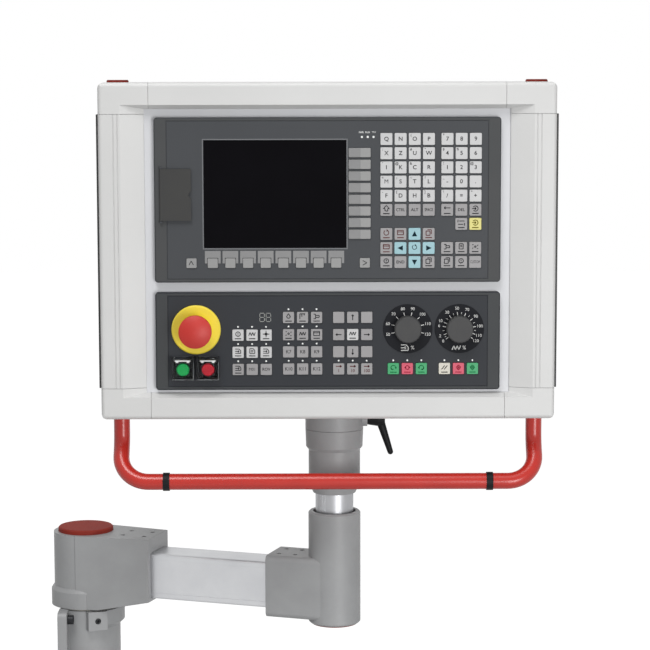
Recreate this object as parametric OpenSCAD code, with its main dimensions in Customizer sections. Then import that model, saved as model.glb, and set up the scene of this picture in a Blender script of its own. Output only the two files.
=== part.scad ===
// Operator panel of a CNC machine on a swivel arm, in millimetres.
// +X runs along the panel's front, +Y away from the operator, +Z up.
// The origin is the centre of the wall flange's bolt pattern, on its mating face.

/* [Wall flange and post] */
// Thickness of the wall flange
flange_t = 12; // [8:1:20]
// Width of the wall flange
flange_w = 128; // [120:1:160]
// Height of the wall flange
flange_h = 120; // [100:1:160]
// Spacing of the flange bolts across
bolt_span_y = 104; // [102:1:112]
// Spacing of the flange bolts up
bolt_span_z = 98; // [60:1:100]
// Diameter of the flange bolt holes
bolt_hole_d = 9; // [6.6:0.1:11]
// Distance of the swivel axis from the wall
axis_x = 32; // [26:1:40]
// Radius of the half-round post
post_r = 44; // [38:1:46]
// Drop of the post's top below the flange's edge
post_sink = 2; // [0:0.5:2]
// Radius of the post's collar
collar_r = 50; // [47:1:56]
// Height of the post's collar
collar_h = 25; // [18:1:34]
// Radius of the pivot spigot
spigot_r = 22; // [18:0.5:24]
// Height of the pivot spigot
spigot_h = 80; // [50:1:84]

/* [Shoulder] */
// Wall of the plain bush on the spigot
bush_t = 3; // [2:0.5:5]
// Thickness of the bush's thrust flange
thrust_t = 2; // [1:0.5:4]
// Radius of the shoulder housing round the pivot
shoulder_r = 42; // [38:1:46]
// Height of the shoulder housing
shoulder_h = 97; // [92:1:110]
// Distance from the pivot to the mouth of the socket
socket_reach = 103; // [90:1:120]
// Half width of the socket at its mouth
socket_half_w = 33; // [31:0.5:38]
// Rise of the housing's underside at the mouth
under_rise = 14; // [6:1:15]
// Radius of the foot band round the back of the housing
foot_r = 46; // [44:0.5:48]
// Height of the foot band
foot_h = 26; // [16:1:34]
// Radius of the red shoulder cap
shoulder_cap_r = 36; // [30:0.5:40]
// Height of the red shoulder cap
shoulder_cap_h = 6; // [3:0.5:10]

/* [Arm] */
// Length from the shoulder axis to the panel axis
arm_len = 346.5; // [300:0.5:500]
// Angle of the arm towards the operator at rest
arm_yaw = 19; // [0:1:45]
// Height of the arm's centre line above the shoulder's underside
arm_rise = 47.5; // [45:0.5:54]
// Width of the arm extrusion
arm_w = 48; // [36:1:52]
// Height of the arm extrusion
arm_h = 60; // [44:1:60]
// Wall of the arm extrusion
arm_wall = 4; // [2:0.5:8]
// Corner radius of the arm extrusion
arm_edge_r = 4; // [3:0.5:12]
// Depth of the arm in its sockets
arm_grip = 60; // [40:1:61]
// Diameter of the grub screws on the arm
grub_d = 6; // [4:0.5:8]

/* [Elbow and upright tube] */
// Length of the elbow socket from the panel axis
elbow_reach = 82; // [74:1:110]
// Width of the elbow socket
elbow_w = 64; // [60:1:70]
// Height of the elbow socket
elbow_h = 80; // [74:1:90]
// Edge radius of the elbow socket
elbow_edge_r = 7; // [3:0.5:10]
// Radius of the elbow pillar
pillar_r = 33; // [31:0.5:40]
// Height of the elbow pillar
pillar_h = 144; // [120:1:180]
// Drop of the pillar below the socket
pillar_drop = 6; // [4:1:20]
// Radius of the relief bore at the pillar's mouth
relief_r = 27; // [25:0.5:29]
// Depth of the relief bore
relief_depth = 54; // [20:1:70]
// Radius of the upright tube
tube_r = 24; // [20:0.5:24.5]
// Wall of the upright tube
tube_wall = 4; // [2:0.5:7]
// Bare length of tube between pillar and coupling
tube_bare = 24; // [10:1:80]
// Number of groups of three grooves down the tube
tube_grooves = 3; // [1:1:8]

/* [Coupling] */
// Radius of the coupling head and ring
head_r = 36.5; // [34:0.5:42]
// Height of the coupling head
head_h = 24; // [22:1:40]
// Height of the ring under the head
ring_h = 26.5; // [22:0.5:36]
// Radius of the coupling barrel
barrel_r = 32.5; // [30:0.5:34]
// Height of the coupling barrel
barrel_h = 55; // [40:1:80]
// Height of the cone at the foot of the barrel
barrel_cone = 12; // [4:1:20]
// Radius of the head's spigot
neck_r = 18; // [16:0.5:19]
// Length of the head's spigot
neck_h = 29; // [26:0.5:40]
// Radius of the cable duct in the coupling
duct_r = 13; // [8:0.5:15]
// Radius of the screw circle in the head
head_screw_r = 27; // [24:0.5:30]
// Diameter of the head screws
head_screw_d = 6; // [4:1:8]

/* [Clamp lever] */
// Diameter of the clamp stud
stud_d = 8; // [6:1:10]
// Radius of the lever's hub
lever_hub_r = 9; // [7:0.5:11]
// Length of the lever's hub
lever_hub_l = 22; // [16:1:28]
// Length of the lever's arm
lever_l = 44; // [30:1:70]
// Outward lean of the lever's arm
lever_lean = 18; // [0:1:30]

/* [Enclosure] */
// Distance of the panel units from the enclosure's sides
unit_side = 67; // [64:1:90]
// Distance of the lower unit from the enclosure's bottom
mc_low = 36; // [35:0.5:60]
// Depth of the enclosure
case_d = 150; // [130:1:220]
// Distance of the panel axis behind the front
axis_depth = 84.2; // [60:0.2:100]
// Offset of the enclosure's middle from the panel axis
case_shift = -8.4; // [-20:0.2:20]
// Wall of the frame extrusions
frame_wall = 4; // [3:0.5:6]
// Visible width of the side frames
side_reach = 55; // [48:1:62]
// Visible height of the top and bottom frames
rail_reach = 32; // [30:0.5:35]
// Width of the flat on the frames' front
frame_flat = 27; // [20:0.5:28]
// Depth of the plate below the frames' front
plate_recess = 10; // [4:0.5:16]
// Thickness of the frames' inner lip
lip_t = 2; // [1.5:0.5:4]
// Overlap of the front plate behind the lip
plate_lap = 8; // [4:0.5:10]
// Edge radius of the frame extrusions
frame_edge_r = 5; // [2:0.5:8]
// Edge radius at the enclosure's rear
rear_edge_r = 2; // [1:0.5:3]
// Outline radius of the corner castings
corner_r = 8; // [4:0.5:14]
// Width of a corner casting
corner_w = 61; // [60:1:90]
// Height of a corner casting
corner_h = 38; // [36:1:60]
// Gap between castings and extrusions
seam = 0.3; // [0.1:0.1:0.6]
// Thickness of the front plate
plate_t = 3; // [2:0.5:5]
// Thickness of the rear panel
rear_t = 2; // [1.5:0.5:4]
// Width of the rear lip
rear_lip = 20; // [14:1:24]
// Width of the black side strips
strip_w = 16; // [8:1:30]
// Stand of the black side strips proud of the sides
strip_proud = 2.6; // [0.5:0.1:4]
// Radius of the red plugs in the top corners
plug_r = 13.5; // [11:0.5:16]
// Height of the red plugs
plug_h = 3; // [2:0.5:6]

/* [Handrail] */
// Diameter of the handrail tube
rail_d = 20; // [14:1:26]
// Distance of the legs from the enclosure's sides
leg_inset = 21; // [19:0.5:28]
// Distance of the legs behind the front
leg_depth = 45; // [40:1:80]
// Drop of the bar below the enclosure
rail_drop = 79; // [76:1:120]
// Length of the leaning part of the legs
lean_run = 10; // [4:1:20]
// Bend radius of the tube's centre line
bend_r = 35; // [30:1:40]
// Depth of the legs in the castings
leg_grip = 25; // [15:1:35]
// Width of the black rings
ring_w = 8; // [5:1:20]
// Distance of the rings from the enclosure's sides
ring_inset = 74; // [70:1:140]

/* [Operator panel] */
// Width of both panel units
unit_w = 420; // [340:1:520]
// Height of the operator panel
op_h = 200; // [170:1:260]
// Distance of the operator panel from the enclosure's top
op_top = 42; // [41:0.5:44]
// Thickness of the bezels
bezel_t = 8; // [7:0.5:12]
// Corner radius of the bezels
bezel_r = 4; // [1:0.5:8]
// Depth of the electronics behind the plate
op_depth = 60; // [30:1:80]
// Gap between the display and the keys beside it
screen_gap = 2.6; // [1.5:0.1:8]
// Gap between the display and the keys under it
screen_low = 3.4; // [2:0.1:8]
// Distance of the display from the unit's left side
screen_u = 60; // [56:0.5:70]
// Distance of the display from the unit's top
screen_v = 27.5; // [22:0.5:40]
// Depth of the display glass below the bezel
screen_sink = 1; // [0.5:0.1:2]
// Side of the operator keys
key_s = 14.4; // [12:0.1:15]
// Pitch of the operator keys
key_p = 17.12; // [16.5:0.02:17.3]
// Stand of the keys proud of the bezel
key_proud = 1.2; // [0.6:0.1:2.5]
// Depth of the key pockets
key_pocket = 3; // [2:0.1:4]
// Clearance round the keys
key_clear = 0.25; // [0.1:0.05:0.4]
// Corner radius of the keys
key_r = 1.2; // [0.6:0.1:3]
// Travel of the keys that move
key_travel = 1; // [0.5:0.1:1.4]
// Width of the interface cover
cover_w = 38.3; // [34:0.1:40]
// Height of the interface cover
cover_h = 63.4; // [50:0.2:70]
// Thickness of the interface cover
cover_t = 3.4; // [2.8:0.1:5]
// Radius of the interface cover's hinge pin
pin_r = 0.9; // [0.6:0.1:1.1]

/* [Machine control panel] */
// Height of the machine control panel
mc_h = 120; // [100:1:150]
// Gap between the two units
unit_gap = 12; // [9:0.5:13]
// Depth of the electronics behind the plate
mc_depth = 45; // [30:1:70]
// Side of the machine keys
mkey_s = 13.7; // [12:0.1:15]
// Pitch of the machine keys across
mkey_pu = 17.1; // [16.5:0.05:18]
// Pitch of the machine keys down
mkey_pv = 21.1; // [20:0.05:21.5]
// Radius of the emergency stop's collar
stop_collar_r = 30; // [26:0.5:32]
// Radius of the emergency stop's mushroom
stop_r = 20; // [16:0.5:22]
// Height of the emergency stop above the bezel
stop_h = 34; // [30:0.5:40]
// Travel of the emergency stop
stop_travel = 4; // [2:0.5:5]
// Radius of the emergency stop's stem
stem_r = 9; // [7:0.5:10]
// Radius of the push buttons
button_r = 7.8; // [6:0.1:8.5]
// Travel of the push buttons
button_travel = 3; // [1:0.5:3.5]
// Width of the button guards
guard_w = 27.6; // [25:0.1:28]
// Height of the button guards
guard_l = 25.3; // [23:0.1:26]
// Wall of the button guards
guard_wall = 2; // [1:0.1:2.4]
// Stand of the button guards proud of the bezel
guard_h = 8; // [7:0.5:12]
// Thickness of the clear lids
lid_t = 1.4; // [1:0.1:2.5]
// Radius of the dial plates
dial_r = 30; // [24:0.5:31]
// Thickness of the dial plates
dial_t = 1; // [0.6:0.1:1.6]
// Radius of the override knobs
knob_r = 16.3; // [12:0.1:20]
// Height of the override knobs
knob_h = 14; // [8:0.5:20]
// Number of flutes round a knob
knob_flutes = 24; // [12:1:36]
// Radius of the knobs' shafts
shaft_r = 3; // [2:0.5:4]

/* [Fits] */
// Radial clearance of the swivels, hinges and shafts
run_fit = 0.05; // [0.02:0.01:0.1]
// Clearance of the arm and other slip fits
slip_fit = 0.2; // [0.1:0.05:0.4]
// Gap between faces that turn on each other
face_gap = 0.3; // [0.2:0.05:0.5]

/* [Hidden] */
$fn = 48;
eps = 0.01;

// Heights
post_top = flange_h / 2 - post_sink;
thrust_top = post_top + thrust_t;
shoulder_z = thrust_top + face_gap;
shoulder_top = shoulder_z + shoulder_h;
arm_z = shoulder_z + arm_rise;
elbow_z = arm_z - elbow_h / 2;
pillar_z = elbow_z - pillar_drop;
pillar_top = pillar_z + pillar_h;
barrel_z = pillar_top + tube_bare;
ring_z = barrel_z + barrel_h;
ring_top = ring_z + ring_h;
head_z = ring_top + face_gap;
case_z = head_z + head_h;
tube_seat_z = pillar_z + 30;
tube_top = ring_z;

// Outline of the enclosure
case_w = unit_w + 2 * unit_side;
case_h = op_top + op_h + unit_gap + mc_h + mc_low;

// Plan
panel_x = axis_x + arm_len * cos(arm_yaw);
panel_y = -arm_len * sin(arm_yaw);
case_x = panel_x + case_shift - case_w / 2;
case_y = panel_y - axis_depth;
neck_x = panel_x - case_x;

// Enclosure
plate_y = plate_recess + lip_t;
strip_y = 8;
strip_sink = 1.5;
boss_r = rail_d / 2 + 5;
rear_y = case_d - rear_t;
panel_in = frame_wall + slip_fit;
rear_screw_in = (frame_wall + rear_lip) / 2;

// Panel units
unit_u = unit_side;
mc_top = op_top + op_h + unit_gap;
// Stretch of the layout from the sizes it was drawn for: 420 wide, 200 and 120 high
lay_u = unit_w / 420;
lay_op = op_h / 200;
lay_mc = mc_h / 120;
lay_r = min(lay_u, lay_mc);
key_w = key_s * lay_u;
key_h = key_s * lay_op;
mkey_w = mkey_s * lay_u;
mkey_h = mkey_s * lay_mc;
stop_out_r = stop_collar_r * lay_r;
stop_head_r = stop_r * lay_r;
stem_out_r = stem_r * lay_r;
button_out_r = button_r * lay_r;
guard_x = guard_w * lay_r;
guard_y = guard_l * lay_r;
dial_out_r = dial_r * lay_r;
knob_out_r = knob_r * lay_r;
rim = 15;
back_in = 12;
letter_u = 274 * lay_u;
number_u = 347.7 * lay_u;
rows_v = 19.2 * lay_op;
cursor_v = 134 * lay_op;
soft_p = 21.42 * lay_u;
soft_u = 60.9 * lay_u;
side_p = 14.11 * lay_op;
cover_u = 6.7 * lay_u;
cover_v = 61.6 * lay_op;
barrel_out = pin_r + 0.7;
lug_w = 2.4;

// Machine control panel places
stop_u = 49.6 * lay_u;
stop_v = 45.5 * lay_mc;
on_u = 33.2 * lay_u;
off_u = 63.8 * lay_u;
guard_v = 81.7 * lay_mc;
button_v = guard_v + guard_y / 2;
dial_u = [307.5 * lay_u, 370.4 * lay_u];
dial_v = 45 * lay_mc;
knob_gap = face_gap;
colour_v = 87.1 * lay_mc;
left_u = 93.7 * lay_u;
left_v = 45.5 * lay_mc;
mid_u = 155.3 * lay_u;
axis_u = 216.4 * lay_u;
block_v = 24 * lay_mc;
start_u = 283.1 * lay_u;
reset_u = 345.5 * lay_u;
lid_pin_r = 0.8;
lid_barrel_r = 1.5;
lid_axis_v = -1.8;
lid_axis_h = guard_h + 0.6;

// A rectangle with round corners, its lower left corner at the origin
module rrect(w, h, r) {
    translate([r, 0])
        square([w - 2 * r, h]);
    translate([0, r])
        square([w, h - 2 * r]);
    for (x = [r, w - r], y = [r, h - r])
        translate([x, y])
            circle(r);
}

module rrect_c(w, h, r) {
    translate([-w / 2, -h / 2])
        rrect(w, h, r);
}

// A ring of inner and outer radius
module tube_z(ro, ri, h) {
    difference() {
        cylinder(r = ro, h = h);
        translate([0, 0, -1])
            cylinder(r = ri, h = h + 2);
    }
}

// Frames of reference
module at_pivot() {
    translate([axis_x, 0, 0])
        rotate([0, 0, -arm_yaw])
            children();
}

module at_panel() {
    translate([panel_x, panel_y, 0])
        children();
}

module at_case() {
    translate([case_x, case_y, case_z])
        children();
}

// Local x runs right, y up and z out of the face; v counts down from the unit's top
module on_unit(top, u, v, h) {
    at_case()
        translate([unit_u + u, plate_y, case_h - top - v])
            rotate([90, 0, 0])
                translate([0, 0, h])
                    children();
}

module on_op(u, v, h = 0) {
    on_unit(op_top, u, v, h)
        children();
}

module on_mc(u, v, h = 0) {
    on_unit(mc_top, u, v, h)
        children();
}

// Along the arm, centred on its section, from a start
module arm_section(grow) {
    rrect_c(arm_w + 2 * grow, arm_h + 2 * grow, arm_edge_r + grow);
}

module along_arm(x0, len) {
    translate([x0, 0, arm_z])
        rotate([90, 0, 90])
            linear_extrude(len)
                children();
}

/* Support arm */

grub_dir = -68;
grub_z = post_top - collar_h / 2;
pad_reach = collar_r + 2;

module post_bracket() {
    color("#8f9091")
    difference() {
        union() {
            // The flange is sunk round the swivel, so that the foot band clears it
            difference() {
                rotate([90, 0, 90])
                    linear_extrude(flange_t)
                        rrect_c(flange_w, flange_h, 6);
                translate([axis_x, 0, post_top])
                    cylinder(r = foot_r + 1, h = post_sink + 1);
            }
            intersection() {
                translate([axis_x, 0, -flange_h / 2])
                    cylinder(r = post_r, h = flange_h - post_sink);
                translate([0, -post_r, -flange_h / 2])
                    cube([2 * post_r + axis_x, 2 * post_r, flange_h]);
            }
            intersection() {
                translate([axis_x, 0, post_top - collar_h])
                    union() {
                        translate([0, 0, 6])
                            cylinder(r = collar_r, h = collar_h - 6);
                        cylinder(r1 = post_r, r2 = collar_r, h = 6);
                    }
                translate([axis_x + 8, -collar_r, 0])
                    cube([2 * collar_r + axis_x, 2 * collar_r, flange_h]);
            }
            translate([axis_x, 0, post_top - collar_h])
                rotate([0, 0, grub_dir])
                    translate([spigot_r + 8, -13, 0])
                        cube([pad_reach - spigot_r - 8, 26, collar_h]);
            translate([axis_x, 0, post_top - eps])
                cylinder(r = spigot_r, h = spigot_h + eps);
        }
        for (y = [-1, 1], z = [-1, 1])
            translate([-1, y * bolt_span_y / 2, z * bolt_span_z / 2])
                rotate([0, 90, 0])
                    cylinder(d = bolt_hole_d, h = flange_t + 2);
        translate([axis_x, 0, grub_z])
            rotate([0, 90, grub_dir])
                translate([0, 0, pad_reach - 16])
                    cylinder(d = 8 + 2 * run_fit, h = 20);
    }
}

module post_grub_screw() {
    color("#1d1d1f")
    translate([axis_x, 0, grub_z])
        rotate([0, 90, grub_dir])
            translate([0, 0, pad_reach - 16])
                difference() {
                    cylinder(d = 8, h = 15);
                    translate([0, 0, 11])
                        cylinder(d = 4.6, h = 6, $fn = 6);
                }
}

module shoulder_bush() {
    color("#e8e4d8")
    translate([axis_x, 0, post_top])
        difference() {
            union() {
                cylinder(r = shoulder_r - 3, h = thrust_t);
                cylinder(r = spigot_r + bush_t, h = spigot_h);
            }
            translate([0, 0, -1])
                cylinder(r = spigot_r + run_fit, h = spigot_h + 2);
        }
}

// Tangent from the pivot circle to the mouth's corner
mouth_d = sqrt(socket_reach * socket_reach + socket_half_w * socket_half_w);
// Step where the flats of the socket stand proud of the round
crease = 0.8;
mouth_a = atan2(socket_half_w, socket_reach) + acos(shoulder_r / mouth_d);
bore_top = post_top + spigot_h + 4;
cap_plug_r = shoulder_cap_r - 5;
socket_x = socket_reach - arm_grip;
grub_rows = [socket_x + 0.28 * arm_grip, socket_x + 0.78 * arm_grip];

module shoulder_housing() {
    color("#8f9091")
    at_pivot()
        difference() {
            union() {
                translate([0, 0, shoulder_z])
                    linear_extrude(shoulder_h) {
                        circle(shoulder_r);
                        polygon([
                            [shoulder_r * cos(mouth_a), shoulder_r + crease],
                            [socket_reach, socket_half_w],
                            [socket_reach, -socket_half_w],
                            [shoulder_r * cos(mouth_a), -shoulder_r - crease]
                        ]);
                    }
                intersection() {
                    translate([0, 0, shoulder_z])
                        union() {
                            cylinder(r = foot_r, h = foot_h - 5);
                            translate([0, 0, foot_h - 5])
                                cylinder(r1 = foot_r, r2 = shoulder_r + 0.5, h = 5);
                        }
                    translate([-2 * foot_r, -foot_r, shoulder_z])
                        cube([2 * foot_r + 19, 2 * foot_r, foot_h]);
                }
            }
            // Underside that rises towards the mouth
            translate([0, 0, shoulder_z])
                rotate([90, 0, 0])
                    linear_extrude(2 * socket_half_w + 40, center = true)
                        polygon([
                            [spigot_r + bush_t + 8, -1],
                            [spigot_r + bush_t + 8, 0],
                            [socket_reach, under_rise],
                            [socket_reach + 1, under_rise],
                            [socket_reach + 1, -1]
                        ]);
            translate([0, 0, shoulder_z - 1])
                cylinder(r = spigot_r + bush_t + run_fit, h = bore_top - shoulder_z + 1);
            translate([0, 0, shoulder_top - 7])
                cylinder(r = cap_plug_r + run_fit, h = 8);
            translate([0, 0, bore_top - 1])
                cylinder(r = cap_plug_r - 5, h = shoulder_top - bore_top);
            along_arm(socket_x, arm_grip + 1)
                arm_section(slip_fit);
            for (x = grub_rows, y = [-1, 1])
                translate([x, y * 14, arm_z + arm_h / 2])
                    cylinder(d = grub_d + 2 * run_fit, h = shoulder_top - arm_z);
        }
}

module shoulder_cap() {
    color("#a04038")
    at_pivot()
        translate([0, 0, shoulder_top]) {
            cylinder(r = shoulder_cap_r, h = shoulder_cap_h - 1.5);
            translate([0, 0, shoulder_cap_h - 1.5])
                cylinder(r1 = shoulder_cap_r, r2 = shoulder_cap_r - 1.5, h = 1.5);
            translate([0, 0, -6])
                cylinder(r = cap_plug_r, h = 6 + eps);
        }
}

elbow_x = arm_len - elbow_reach;
arm_x0 = socket_x + 1;
arm_x1 = elbow_x + elbow_grip();
function elbow_grip() = min(arm_grip, elbow_reach - tube_r - 8) - 1;

module arm_profile() {
    color("#cfcfce")
    at_pivot()
        difference() {
            along_arm(arm_x0, arm_x1 - arm_x0)
                difference() {
                    arm_section(0);
                    rrect_c(arm_w - 2 * arm_wall, arm_h - 2 * arm_wall, arm_edge_r - 2);
                    // Shallow grooves along the two sides
                    for (s = [-1, 1])
                        translate([s * arm_w / 2, 0])
                            square([0.8, arm_h - 4 * arm_edge_r], center = true);
                }
        }
}

elbow_grub_rows = [elbow_x + 12, elbow_x + 34];

module arm_grub_screws() {
    color("#2a2a2c")
    at_pivot() {
        for (x = grub_rows, y = [-1, 1])
            grub_screw(x, y * 14, shoulder_top);
        for (x = elbow_grub_rows, y = [-1, 1])
            grub_screw(x, y * 14, elbow_z + elbow_h);
    }
}

// A socket screw from the arm's top face to just under the casting's surface
module grub_screw(x, y, top) {
    len = top - 1 - arm_z - arm_h / 2;
    translate([x, y, arm_z + arm_h / 2])
        difference() {
            cylinder(d = grub_d, h = len);
            translate([0, 0, len - 3])
                cylinder(d = grub_d / 2, h = 4, $fn = 6);
        }
}

module elbow_housing() {
    color("#8f9091")
    at_pivot()
        difference() {
            union() {
                translate([elbow_x, 0, arm_z])
                    rotate([90, 0, 90])
                        linear_extrude(elbow_reach)
                            rrect_c(elbow_w, elbow_h, elbow_edge_r);
                translate([arm_len, 0, pillar_z]) {
                    translate([0, 0, 2])
                        cylinder(r = pillar_r, h = pillar_h - 4);
                    cylinder(r1 = pillar_r - 2, r2 = pillar_r, h = 2);
                    translate([0, 0, pillar_h - 2])
                        cylinder(r1 = pillar_r, r2 = pillar_r - 2, h = 2);
                }
            }
            translate([arm_len, 0, pillar_z - 1])
                cylinder(r = tube_r - tube_wall, h = pillar_h + 2);
            translate([arm_len, 0, tube_seat_z])
                cylinder(r = tube_r + run_fit, h = pillar_h);
            translate([arm_len, 0, pillar_top - relief_depth])
                cylinder(r = relief_r, h = relief_depth + 1);
            along_arm(elbow_x - 1, elbow_grip() + 2)
                arm_section(slip_fit);
            for (x = elbow_grub_rows, y = [-1, 1])
                translate([x, y * 14, arm_z + arm_h / 2])
                    cylinder(d = grub_d + 2 * run_fit, h = elbow_h);
        }
}

module elbow_cap() {
    color("#a04038")
    at_pivot()
        translate([arm_len, 0, pillar_z]) {
            translate([0, 0, -1.4])
                cylinder(r = pillar_r - 4, h = 1.4);
            cylinder(r = tube_r - tube_wall - run_fit, h = 12);
        }
}

groove_dir = -108;
groove_pitch = 8.5;

module pillar_tube() {
    color("#c9c9c9")
    at_pivot()
        translate([arm_len, 0, tube_seat_z])
            linear_extrude(tube_top - tube_seat_z)
                difference() {
                    circle(tube_r);
                    circle(tube_r - tube_wall);
                    for (i = [0:tube_grooves - 1], k = [-1:1])
                        rotate(groove_dir + i * 360 / tube_grooves + k * groove_pitch)
                            translate([tube_r, 0])
                                square([1, 1.2], center = true);
                }
}

bush_ro = neck_r + 2.5;
bush_low = 7;

module coupling_base() {
    color("#97989a")
    at_panel()
        difference() {
            union() {
                translate([0, 0, barrel_z])
                    cylinder(r1 = tube_r + 3, r2 = barrel_r, h = barrel_cone);
                translate([0, 0, barrel_z + barrel_cone])
                    cylinder(r = barrel_r, h = barrel_h - barrel_cone);
                translate([0, 0, ring_z])
                    cylinder(r1 = barrel_r, r2 = head_r - 0.8, h = 4);
                translate([0, 0, ring_z + 4])
                    cylinder(r1 = head_r - 0.8, r2 = head_r, h = ring_h - 4);
            }
            translate([0, 0, barrel_z - 1])
                cylinder(r = tube_r + run_fit, h = ring_z - barrel_z + bush_low + 1);
            translate([0, 0, ring_z])
                cylinder(r = bush_ro + run_fit, h = ring_h + 1);
        }
}

module coupling_bush() {
    color("#e8e4d8")
    at_panel()
        translate([0, 0, ring_z + bush_low])
            tube_z(bush_ro, neck_r + run_fit, ring_h - bush_low);
}

keeper_h = 2;
keeper_z = ring_z + bush_low - face_gap - keeper_h;
groove_r = neck_r - 1.5;

module coupling_retainer() {
    color("#3a3b3d")
    at_panel()
        translate([0, 0, keeper_z])
            tube_z(tube_r - 1, groove_r + run_fit, keeper_h);
}

stud_z = case_z - head_h / 2 - 1;
boss_end = head_r + 5;

module coupling_head() {
    color("#97989a")
    at_panel()
        difference() {
            union() {
                translate([0, 0, head_z])
                    cylinder(r = head_r, h = head_h);
                translate([0, 0, head_z - neck_h])
                    cylinder(r = neck_r, h = neck_h + eps);
                translate([0, 0, stud_z])
                    rotate([0, 90, 0])
                        cylinder(r = stud_d / 2 + 5, h = boss_end);
            }
            translate([0, 0, head_z - neck_h - 1])
                cylinder(r = duct_r, h = neck_h + head_h + 2);
            translate([0, 0, keeper_z])
                tube_z(neck_r + 1, groove_r, keeper_h);
            translate([head_r - 12, 0, stud_z])
                rotate([0, 90, 0])
                    cylinder(d = stud_d + 2 * run_fit, h = 30);
            for (a = [45:90:315])
                rotate([0, 0, a])
                    translate([head_screw_r, 0, case_z - 16])
                        cylinder(d = head_screw_d + 2 * run_fit, h = 20);
        }
}

module coupling_screws() {
    color("#3a3b3d")
    at_panel()
        for (a = [45:90:315])
            rotate([0, 0, a])
                translate([head_screw_r, 0, case_z - 15]) {
                    cylinder(d = head_screw_d, h = 15 + frame_wall);
                    translate([0, 0, 15 + frame_wall])
                        difference() {
                            cylinder(d = head_screw_d * 1.65, h = head_screw_d);
                            translate([0, 0, head_screw_d / 2])
                                cylinder(d = head_screw_d * 0.9, h = head_screw_d, $fn = 6);
                        }
                }
}

module clamp_stud() {
    color("#3a3b3d")
    at_panel()
        translate([head_r - 11, 0, stud_z])
            rotate([0, 90, 0])
                cylinder(d = stud_d, h = boss_end - head_r + 11 + lever_hub_l / 2);
}

lever_x = boss_end + face_gap;

module clamp_lever() {
    color("#232325")
    at_panel()
        translate([lever_x, 0, stud_z])
            difference() {
                union() {
                    rotate([0, 90, 0])
                        cylinder(r1 = lever_hub_r - 2, r2 = lever_hub_r, h = lever_hub_l * 0.6);
                    translate([lever_hub_l * 0.6, 0, 0])
                        rotate([0, 90, 0])
                            cylinder(r = lever_hub_r, h = lever_hub_l * 0.4);
                    translate([lever_hub_l * 0.7, 0, 0])
                        rotate([180, -lever_lean, 0]) {
                            cylinder(r1 = lever_hub_r - 3.5, r2 = 3.6, h = lever_l);
                            translate([0, 0, lever_l])
                                sphere(r = 3.6);
                        }
                }
                translate([-1, 0, 0])
                    rotate([0, 90, 0])
                        cylinder(d = stud_d, h = lever_hub_l / 2 + 1 - face_gap);
            }
}

/* Enclosure frame */

// Outer shape of a frame section: t runs inward from the outer face, y to the rear
module frame_envelope(reach) {
    translate([frame_edge_r, 0])
        square([reach - frame_edge_r, case_d]);
    translate([rear_edge_r, frame_edge_r])
        square([reach - rear_edge_r, case_d - frame_edge_r]);
    translate([0, frame_edge_r])
        square([reach, case_d - frame_edge_r - rear_edge_r]);
    translate([frame_edge_r, frame_edge_r])
        circle(frame_edge_r);
    translate([rear_edge_r, case_d - rear_edge_r])
        circle(rear_edge_r);
}

module frame_section(reach) {
    lip_y = rear_y - 3;
    difference() {
        frame_envelope(reach);
        polygon([
            [frame_flat, -1],
            [frame_flat, 0],
            [reach, plate_recess],
            [reach + 1, plate_recess],
            [reach + 1, -1]
        ]);
        polygon([
            [frame_wall, frame_wall],
            [frame_flat - 1, frame_wall],
            [reach - plate_lap, plate_y],
            [reach + 1, plate_y],
            [reach + 1, case_d + 1],
            [rear_lip, case_d + 1],
            [rear_lip, lip_y],
            [frame_wall, lip_y]
        ]);
        translate([frame_wall, rear_y])
            square([reach, rear_t + 1]);
    }
}

// A side section between two heights, and a rail section between two places across
module side_run(z0, z1) {
    translate([0, 0, z0])
        linear_extrude(z1 - z0)
            children();
}

module rail_run(x0, x1) {
    translate([x1, 0, 0])
        rotate([0, -90, 0])
            linear_extrude(x1 - x0)
                children();
}

module top_half() {
    translate([0, 0, case_h])
        mirror([0, 0, 1])
            children();
}

module right_half() {
    translate([case_w, 0, 0])
        mirror([1, 0, 0])
            children();
}

module bottom_rail() {
    rail_run(corner_w + seam, case_w - corner_w - seam)
        frame_section(rail_reach);
}

module side_frame() {
    difference() {
        side_run(corner_h + seam, case_h - corner_h - seam)
            frame_section(side_reach);
        // Two fine decorative grooves down the front
        for (t = [18, 23])
            translate([t, -1, 0])
                cube([1, 1.6, case_h]);
        translate([-1, strip_y, 0])
            cube([1 + strip_sink, strip_w, case_h]);
    }
}

module frame_top() {
    color("#dadad8")
    at_case()
        difference() {
            top_half()
                bottom_rail();
            rear_screw_bores();
        }
}

module frame_bottom() {
    color("#dadad8")
    at_case()
        difference() {
            bottom_rail();
            rear_screw_bores();
            translate([neck_x, axis_depth, -1]) {
                cylinder(r = duct_r, h = frame_wall + 2);
                for (a = [45:90:315])
                    rotate([0, 0, a])
                        translate([head_screw_r, 0, 0])
                            cylinder(d = head_screw_d + 2 * slip_fit, h = frame_wall + 2);
            }
        }
}

module frame_left() {
    color("#dadad8")
    at_case()
        side_frame();
}

module frame_right() {
    color("#dadad8")
    at_case()
        right_half()
            side_frame();
}

// One corner: the two sections meet on a crease, with a bored boss for a handrail leg
module corner_casting() {
    difference() {
        intersection() {
            union() {
                side_run(0, corner_h)
                    frame_section(side_reach);
                rail_run(0, corner_w)
                    frame_section(rail_reach);
                translate([leg_inset, leg_depth, 0])
                    cylinder(r = boss_r, h = leg_grip + 4);
            }
            side_run(-1, corner_h + 1)
                frame_envelope(corner_w);
            rail_run(-1, corner_w + 1)
                frame_envelope(corner_h);
            translate([0, case_d, 0])
                rotate([90, 0, 0])
                    linear_extrude(case_d)
                        rrect(case_w, case_h, corner_r);
        }
        translate([leg_inset, leg_depth, -1])
            cylinder(d = rail_d + 2 * run_fit, h = leg_grip + 1);
    }
}

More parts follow.
